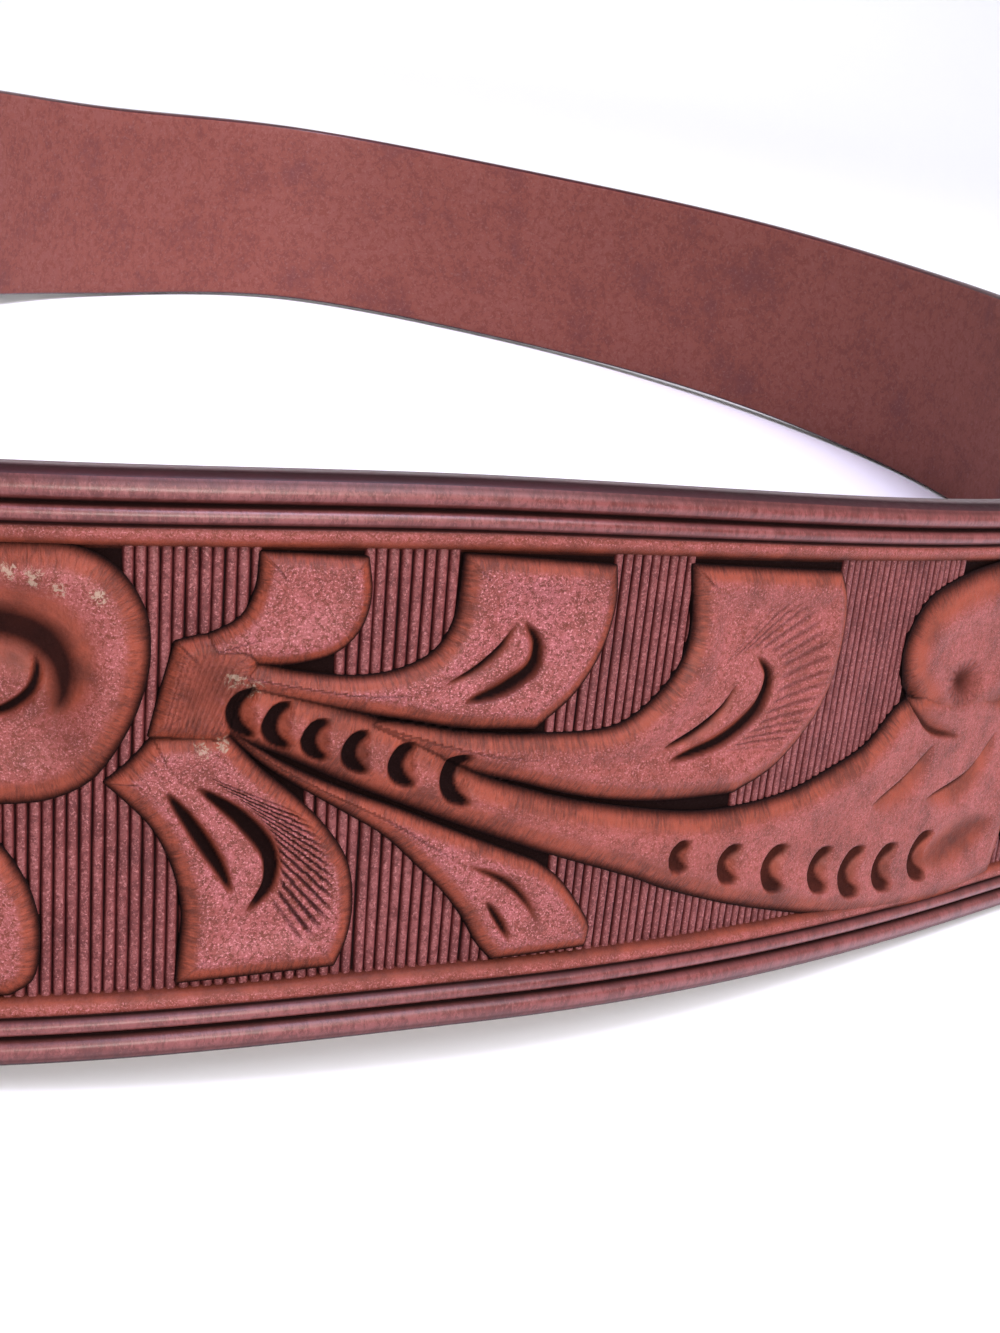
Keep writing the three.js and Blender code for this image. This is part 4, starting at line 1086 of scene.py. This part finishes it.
def rounded_loop(low, high, back, front, radius, steps=7):
    """Points and outward directions round a rectangle with rounded corners."""
    places, directions = [], []
    for corner, (x, y) in enumerate(((high, back), (high, front), (low, front), (low, back))):
        cx = x - radius if x == high else x + radius
        cy = y - radius if y == front else y + radius
        for k in range(steps):
            angle = math.radians(-90 + 90 * corner + 90 * k / (steps - 1))
            direction = (math.cos(angle), math.sin(angle))
            places.append((cx + radius * direction[0], cy + radius * direction[1]))
            directions.append(direction)
    return np.array(places), np.array(directions)


half_band = keeper_thickness / 2
band_places, band_ways = rounded_loop(
    -keeper_gap - half_band, strap_width + keeper_gap + half_band,
    fold_back - keeper_gap - half_band, tail_depth + half_thickness + keeper_gap + half_band, keeper_corner,
)
band_rings = [
    np.column_stack([
        keeper_centre + keeper_rows["a"] * keeper_width / 2,
        place[0] + way[0] * keeper_rows["b"] * half_band, place[1] + way[1] * keeper_rows["b"] * half_band,
    ])
    for place, way in zip(band_places, band_ways)
]
keeper = add_piece("keeper_band", swept(band_rings, closed=True))
keep_numbers(keeper.data, "paste_and_shade", np.tile(keeper_rows["paste_and_shade"], len(band_rings)))
keep_numbers(keeper.data, "top", np.full(len(keeper.data.vertices), 0.4))
keeper.data.materials.append(pressed_leather)
set_round_loop(keeper.data, shift)
keeper.data.shade_smooth()
keeper.data.set_sharp_from_angle(angle=math.radians(50))
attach(keeper, "root")
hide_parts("keeper")

# The buckle: a cast steel frame of three rounded sides on a heel bar, which the strap's fold holds, and a
# prong that goes through the middle hole and rests on the frame's outer side.
frame_length = 28
frame_arm = 3.6
frame_thickness = 3.2
frame_gap = 1
frame_corner = 7
frame_edge = 1.1
prong_diameter = 2.8
bar_depth = half_thickness - heel_radius - clearance - fold_thickness


def steel(name, base, roughness, scratch_mm):
    """Satin steel: a fine linished grain that spreads highlights, with cloudy patches from handling."""
    material = bpy.data.materials.new(name)
    material.use_nodes = True
    tree = material.node_tree
    tree.nodes.clear()
    cloud_mm = 6
    scratch_depth_mm = 0.01
    place = node(tree, "ShaderNodeTexCoord").outputs["Object"]
    pulled = node(tree, "ShaderNodeVectorMath", {0: place, 1: (1, 1, 9)},
                  operation="MULTIPLY").outputs["Vector"]
    lines = node(tree, "ShaderNodeTexNoise", {
        "Vector": pulled, "Scale": 1 / (scratch_mm * mm), "Detail": 4, "Roughness": 0.7}).outputs["Fac"]
    clouds = node(tree, "ShaderNodeTexNoise",
                  {"Vector": place, "Scale": 1 / (cloud_mm * mm), "Detail": 3}).outputs["Fac"]
    cloudy = node(tree, "ShaderNodeMapRange",
                  {"Value": clouds, "From Min": 0.35, "From Max": 0.65}).outputs["Result"]
    tone = node(tree, "ShaderNodeMix", {"Factor": cloudy, "A": base, "B": "#A8A49C"},
                data_type="RGBA").outputs["Result"]
    gloss = node(tree, "ShaderNodeMapRange", {
        "Value": lines, "From Min": 0.3, "From Max": 0.7, "To Min": roughness - 0.06,
        "To Max": roughness + 0.1})
    bump = node(tree, "ShaderNodeBump", {
        "Height": lines, "Strength": 1.0, "Distance": scratch_depth_mm * mm})
    shader = node(tree, "ShaderNodeBsdfPrincipled", {
        "Base Color": tone, "Roughness": gloss.outputs["Result"], "Normal": bump.outputs["Normal"],
        "Metallic": 1.0})
    node(tree, "ShaderNodeOutputMaterial", {"Surface": shader.outputs["BSDF"]})
    return material


# The cast frame is ground on a fine belt and lightly polished: soft highlights, drawn out up the buckle. The
# scratches are 0.35 mm wide where real ones are 0.05, as coarse as they must be to show.
satin_steel = steel("linished_satin_steel", "#C4C0B8", 0.27, 0.35)


def set_rigid(mesh):
    """Sets a flat mesh straight in the strap's axes at the heel bar."""
    flat = coordinates(mesh)
    keep_numbers(mesh, "flat", flat)
    axes_there = np.stack([along[0], loop_path[0, 3:6], loop_path[0, 6:9]])
    placed = (loop_path[0, 0:3] + flat @ axes_there) * mm + np.array(shift)
    mesh.vertices.foreach_set("co", placed.ravel())
    mesh.update()


def joined(meshes):
    work = bmesh.new()
    for mesh in meshes:
        work.from_mesh(mesh)
    mesh = bpy.data.meshes.new("joined")
    work.to_mesh(mesh)
    work.free()
    return mesh


def turned(profile, centre, axis, side, sides=40):
    """A round solid from rows of radius and place along an axis."""
    other = np.cross(axis, side)
    angles = np.linspace(0, 2 * math.pi, sides, endpoint=False)
    spokes = np.outer(np.cos(angles), side) + np.outer(np.sin(angles), other)
    return swept([np.array(centre) + spokes * radius + np.array(axis) * place for radius, place in profile],
                 closed=False)


outer_depth = float(tail_lift(-frame_length)) + half_thickness + clearance + frame_thickness / 2
tilt = math.atan2(outer_depth - bar_depth, frame_length)
frame_low = -frame_gap - frame_arm / 2
frame_high = strap_width + frame_gap + frame_arm / 2
frame_end = frame_length / math.cos(tilt)
bend_radius = frame_corner - frame_arm / 2
track = [((x, frame_low), (0, -1)) for x in np.linspace(0, frame_end - bend_radius, 6)[:-1]]
for middle_y, first in ((frame_low + bend_radius, -90), (frame_high - bend_radius, 0)):
    for k in range(11):
        angle = math.radians(first + 9 * k)
        way = (math.cos(angle), math.sin(angle))
        track.append(((frame_end - bend_radius + bend_radius * way[0], middle_y + bend_radius * way[1]), way))
track += [((x, frame_high), (0, 1)) for x in np.linspace(frame_end - bend_radius, 0, 6)[1:]]
section_places, _ = rounded_loop(-frame_arm / 2, frame_arm / 2, -frame_thickness / 2, frame_thickness / 2,
                                 frame_edge, 5)
frame_rings = []
for (x, y), way in track:
    px = x + way[0] * section_places[:, 0]
    py = y + way[1] * section_places[:, 0]
    pz = section_places[:, 1]
    lifted = bar_depth + px * math.sin(tilt) + pz * math.cos(tilt)
    frame_rings.append(np.column_stack([-px * math.cos(tilt) + pz * math.sin(tilt), py, lifted]))
buckle_frame = swept(frame_rings, closed=False)
up = (0, 1, 0)
bar_profile = [(1.7, frame_low - 1.2), (heel_radius, frame_low - 0.9), (heel_radius, frame_high + 0.9),
               (1.7, frame_high + 1.2)]
heel_bar = turned(bar_profile, (0, 0, bar_depth), up, (1, 0, 0))
boss_rows = [(1.9, -1.8), (2.3, -1.5), (2.3, 1.5), (1.9, 1.8)]
bosses = [turned(boss_rows, (0, y, bar_depth), up, (1, 0, 0)) for y in (frame_low, frame_high)]

tail_face = float(tail_lift(hole_offset)) + half_thickness
rest_depth = outer_depth + frame_thickness / 2 + prong_diameter / 4
prong_rows = [
    (0, bar_depth), (hole_offset * 0.62, bar_depth + 0.75 * (half_thickness - bar_depth)),
    (hole_offset * 0.94, tail_face - half_thickness),
    (hole_offset * 1.12, tail_face + prong_diameter * 0.2),
    (hole_offset * 1.9, max(rest_depth, tail_face + prong_diameter / 2 + clearance)),
    (-frame_length * 0.65, rest_depth), (-frame_length - frame_arm / 2, rest_depth),
]
prong_line = smooth_run(prong_rows, 0.8)
prong_ways = unit(np.gradient(prong_line, axis=0))
prong_shares = np.linspace(0, 1, len(prong_line))
prong_sizes = prong_diameter / 2 * (1 - 0.18 * prong_shares) * np.where(prong_shares > 0.98, 0.6, 1)
turn_angles = np.linspace(0, 2 * math.pi, 20, endpoint=False)
prong_rings = [
    np.column_stack([
        place[0] - way[1] * size * np.cos(turn_angles), strap_width / 2 + size * np.sin(turn_angles),
        place[1] + way[0] * size * np.cos(turn_angles),
    ])
    for place, way, size in zip(prong_line, prong_ways, prong_sizes)
]
prong = swept(prong_rings, closed=False)
eye_angles = np.linspace(0, 2 * math.pi, 28, endpoint=False)
eye_rings = [
    np.column_stack([
        math.cos(a) * (3.0 + 0.9 * np.cos(turn_angles)), strap_width / 2 + 1.4 * np.sin(turn_angles),
        bar_depth + math.sin(a) * (3.0 + 0.9 * np.cos(turn_angles)),
    ])
    for a in eye_angles
]
prong_eye = swept(eye_rings, closed=True)
buckle = add_piece("buckle_steelwork", joined([buckle_frame, heel_bar, *bosses, prong, prong_eye]))
buckle.data.materials.append(satin_steel)
set_rigid(buckle.data)
buckle.data.shade_smooth()
buckle.data.set_sharp_from_angle(angle=math.radians(50))
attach(buckle, "root")
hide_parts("buckle")

# The two rivets that close the fold: turned steel with low domed heads, hammered flat against the leather.
rivet_head = 9
rivet_head_thickness = 0.7
outer_face = half_thickness + clearance
inner_face = fold_back - clearance
# Each head as shares of its radius and thickness, from its middle out and under
dome_rows = [(0.02, 1.0), (0.35, 0.98), (0.65, 0.88), (0.85, 0.66), (0.96, 0.36), (1.0, 0.1), (0.97, 0.0)]
# Turned heads keep finer scratches and a duller shine than the buckle.
rivet_steel = steel("turned_rivet_steel", "#BDB8AE", 0.33, 0.25)
for number, s in enumerate(rivet_places):
    top_side = [(rivet_head / 2 * r, outer_face + rivet_head_thickness * h) for r, h in dome_rows]
    low_side = [(rivet_head / 2 * r, inner_face - rivet_head_thickness * h) for r, h in reversed(dome_rows)]
    profile = [*top_side, (rivet_shaft / 2, outer_face), (rivet_shaft / 2, inner_face), *low_side]
    rivet = add_piece(f"rivet_head_{number + 1}",
                      turned(profile, (s, strap_width / 2, 0), (0, 0, 1), (1, 0, 0)))
    rivet.data.materials.append(rivet_steel)
    set_round_loop(rivet.data, shift)
    rivet.data.shade_smooth()
    rivet.data.set_sharp_from_angle(angle=math.radians(50))
    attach(rivet, "root")
    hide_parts(f"rivet_{number + 1}")

# The floor: a pale studio sweep that curves up into a backdrop all round.
floor_profile = [(0.0, 0.0), (3.0, 0.0), (4.0, 0.1), (4.8, 0.4), (5.4, 1.0), (5.6, 2.0), (5.6, 4.0)]
turns = 64
floor_points = [(0.0, 0.0, 0.0)]
for radius, height in floor_profile[1:]:
    for k in range(turns):
        angle = 2 * math.pi * k / turns
        floor_points.append((radius * math.cos(angle), radius * math.sin(angle), height))
floor_faces = [(0, 1 + k, 1 + (k + 1) % turns) for k in range(turns)]
for ring in range(len(floor_profile) - 2):
    for k in range(turns):
        a = 1 + ring * turns + k
        b = 1 + ring * turns + (k + 1) % turns
        floor_faces.append((a, a + turns, b + turns, b))
floor = add_piece("floor", new_mesh("floor", floor_points, floor_faces))
floor.data.shade_smooth()
# Matt backdrop paper, rolled out: an even near-white without gloss
paper = bpy.data.materials.new("studio_paper")
paper.use_nodes = True
paper.node_tree.nodes["Principled BSDF"].inputs["Base Color"].default_value = linear("#F6F6F6")
paper.node_tree.nodes["Principled BSDF"].inputs["Roughness"].default_value = 0.9
floor.data.materials.append(paper)

# Soft studio light: a cool overhead one, a warmer one from the front right, and a broad dim sky.
world = bpy.data.worlds.new("studio")
bpy.context.scene.world = world
world.use_nodes = True
world.node_tree.nodes["Background"].inputs["Color"].default_value = linear("#FFFFFF")
world.node_tree.nodes["Background"].inputs["Strength"].default_value = 0.25


def soft_box(name, place, target, size, power, colour):
    light = bpy.data.lights.new(name, "AREA")
    light.shape = "DISK"
    light.size = size
    light.energy = power
    light.color = linear(colour)[:3]
    lamp = bpy.data.objects.new(name, light)
    bpy.context.scene.collection.objects.link(lamp)
    lamp.location = place
    lamp.rotation_euler = (Vector(target) - Vector(place)).to_track_quat("-Z", "Y").to_euler()


soft_box("overhead", (0.25, -0.25, 0.9), (0, -0.1, 0), 0.5, 8, "#DCD4FF")
soft_box("right_front", (0.5, -1.05, 0.4), (0.03, -0.14, 0.02), 0.5, 9.5, "#FFF8F4")
sky = bpy.data.lights.new("sky", "SUN")
sky.angle = math.radians(45)
sky.energy = 2.8
sky.color = linear("#F6F6FF")[:3]
sky_lamp = bpy.data.objects.new("sky", sky)
bpy.context.scene.collection.objects.link(sky_lamp)
sky_lamp.rotation_euler = Vector((-0.7, 0.45, -1)).to_track_quat("-Z", "Y").to_euler()
bpy.context.scene.view_settings.view_transform = "Standard"

# The camera stands in front of the carved stretch, at the photograph's place and angle.
pitch = math.radians(19.84)
roll = math.radians(-10.59)
camera_place = Vector((25.15, -258.32, 68.03)) * mm
right = Vector((1, 0, 0))
down = Vector((0, -math.sin(pitch), -math.cos(pitch)))
ahead = Vector((0, math.cos(pitch), -math.sin(pitch)))
image_right = math.cos(roll) * right + math.sin(roll) * down
image_down = -math.sin(roll) * right + math.cos(roll) * down
camera_data = bpy.data.cameras.new("camera")
camera_data.lens = 48.4
camera_data.sensor_width = 36
camera_data.shift_x = -0.018
camera_data.shift_y = 0.0146
camera_data.clip_start = 0.01
camera_data.clip_end = 20
camera = bpy.data.objects.new("camera", camera_data)
bpy.context.scene.collection.objects.link(camera)
axes = Matrix((image_right, -image_down, -ahead)).transposed()
camera.matrix_world = Matrix.Translation(camera_place) @ axes.to_4x4()
bpy.context.scene.camera = camera
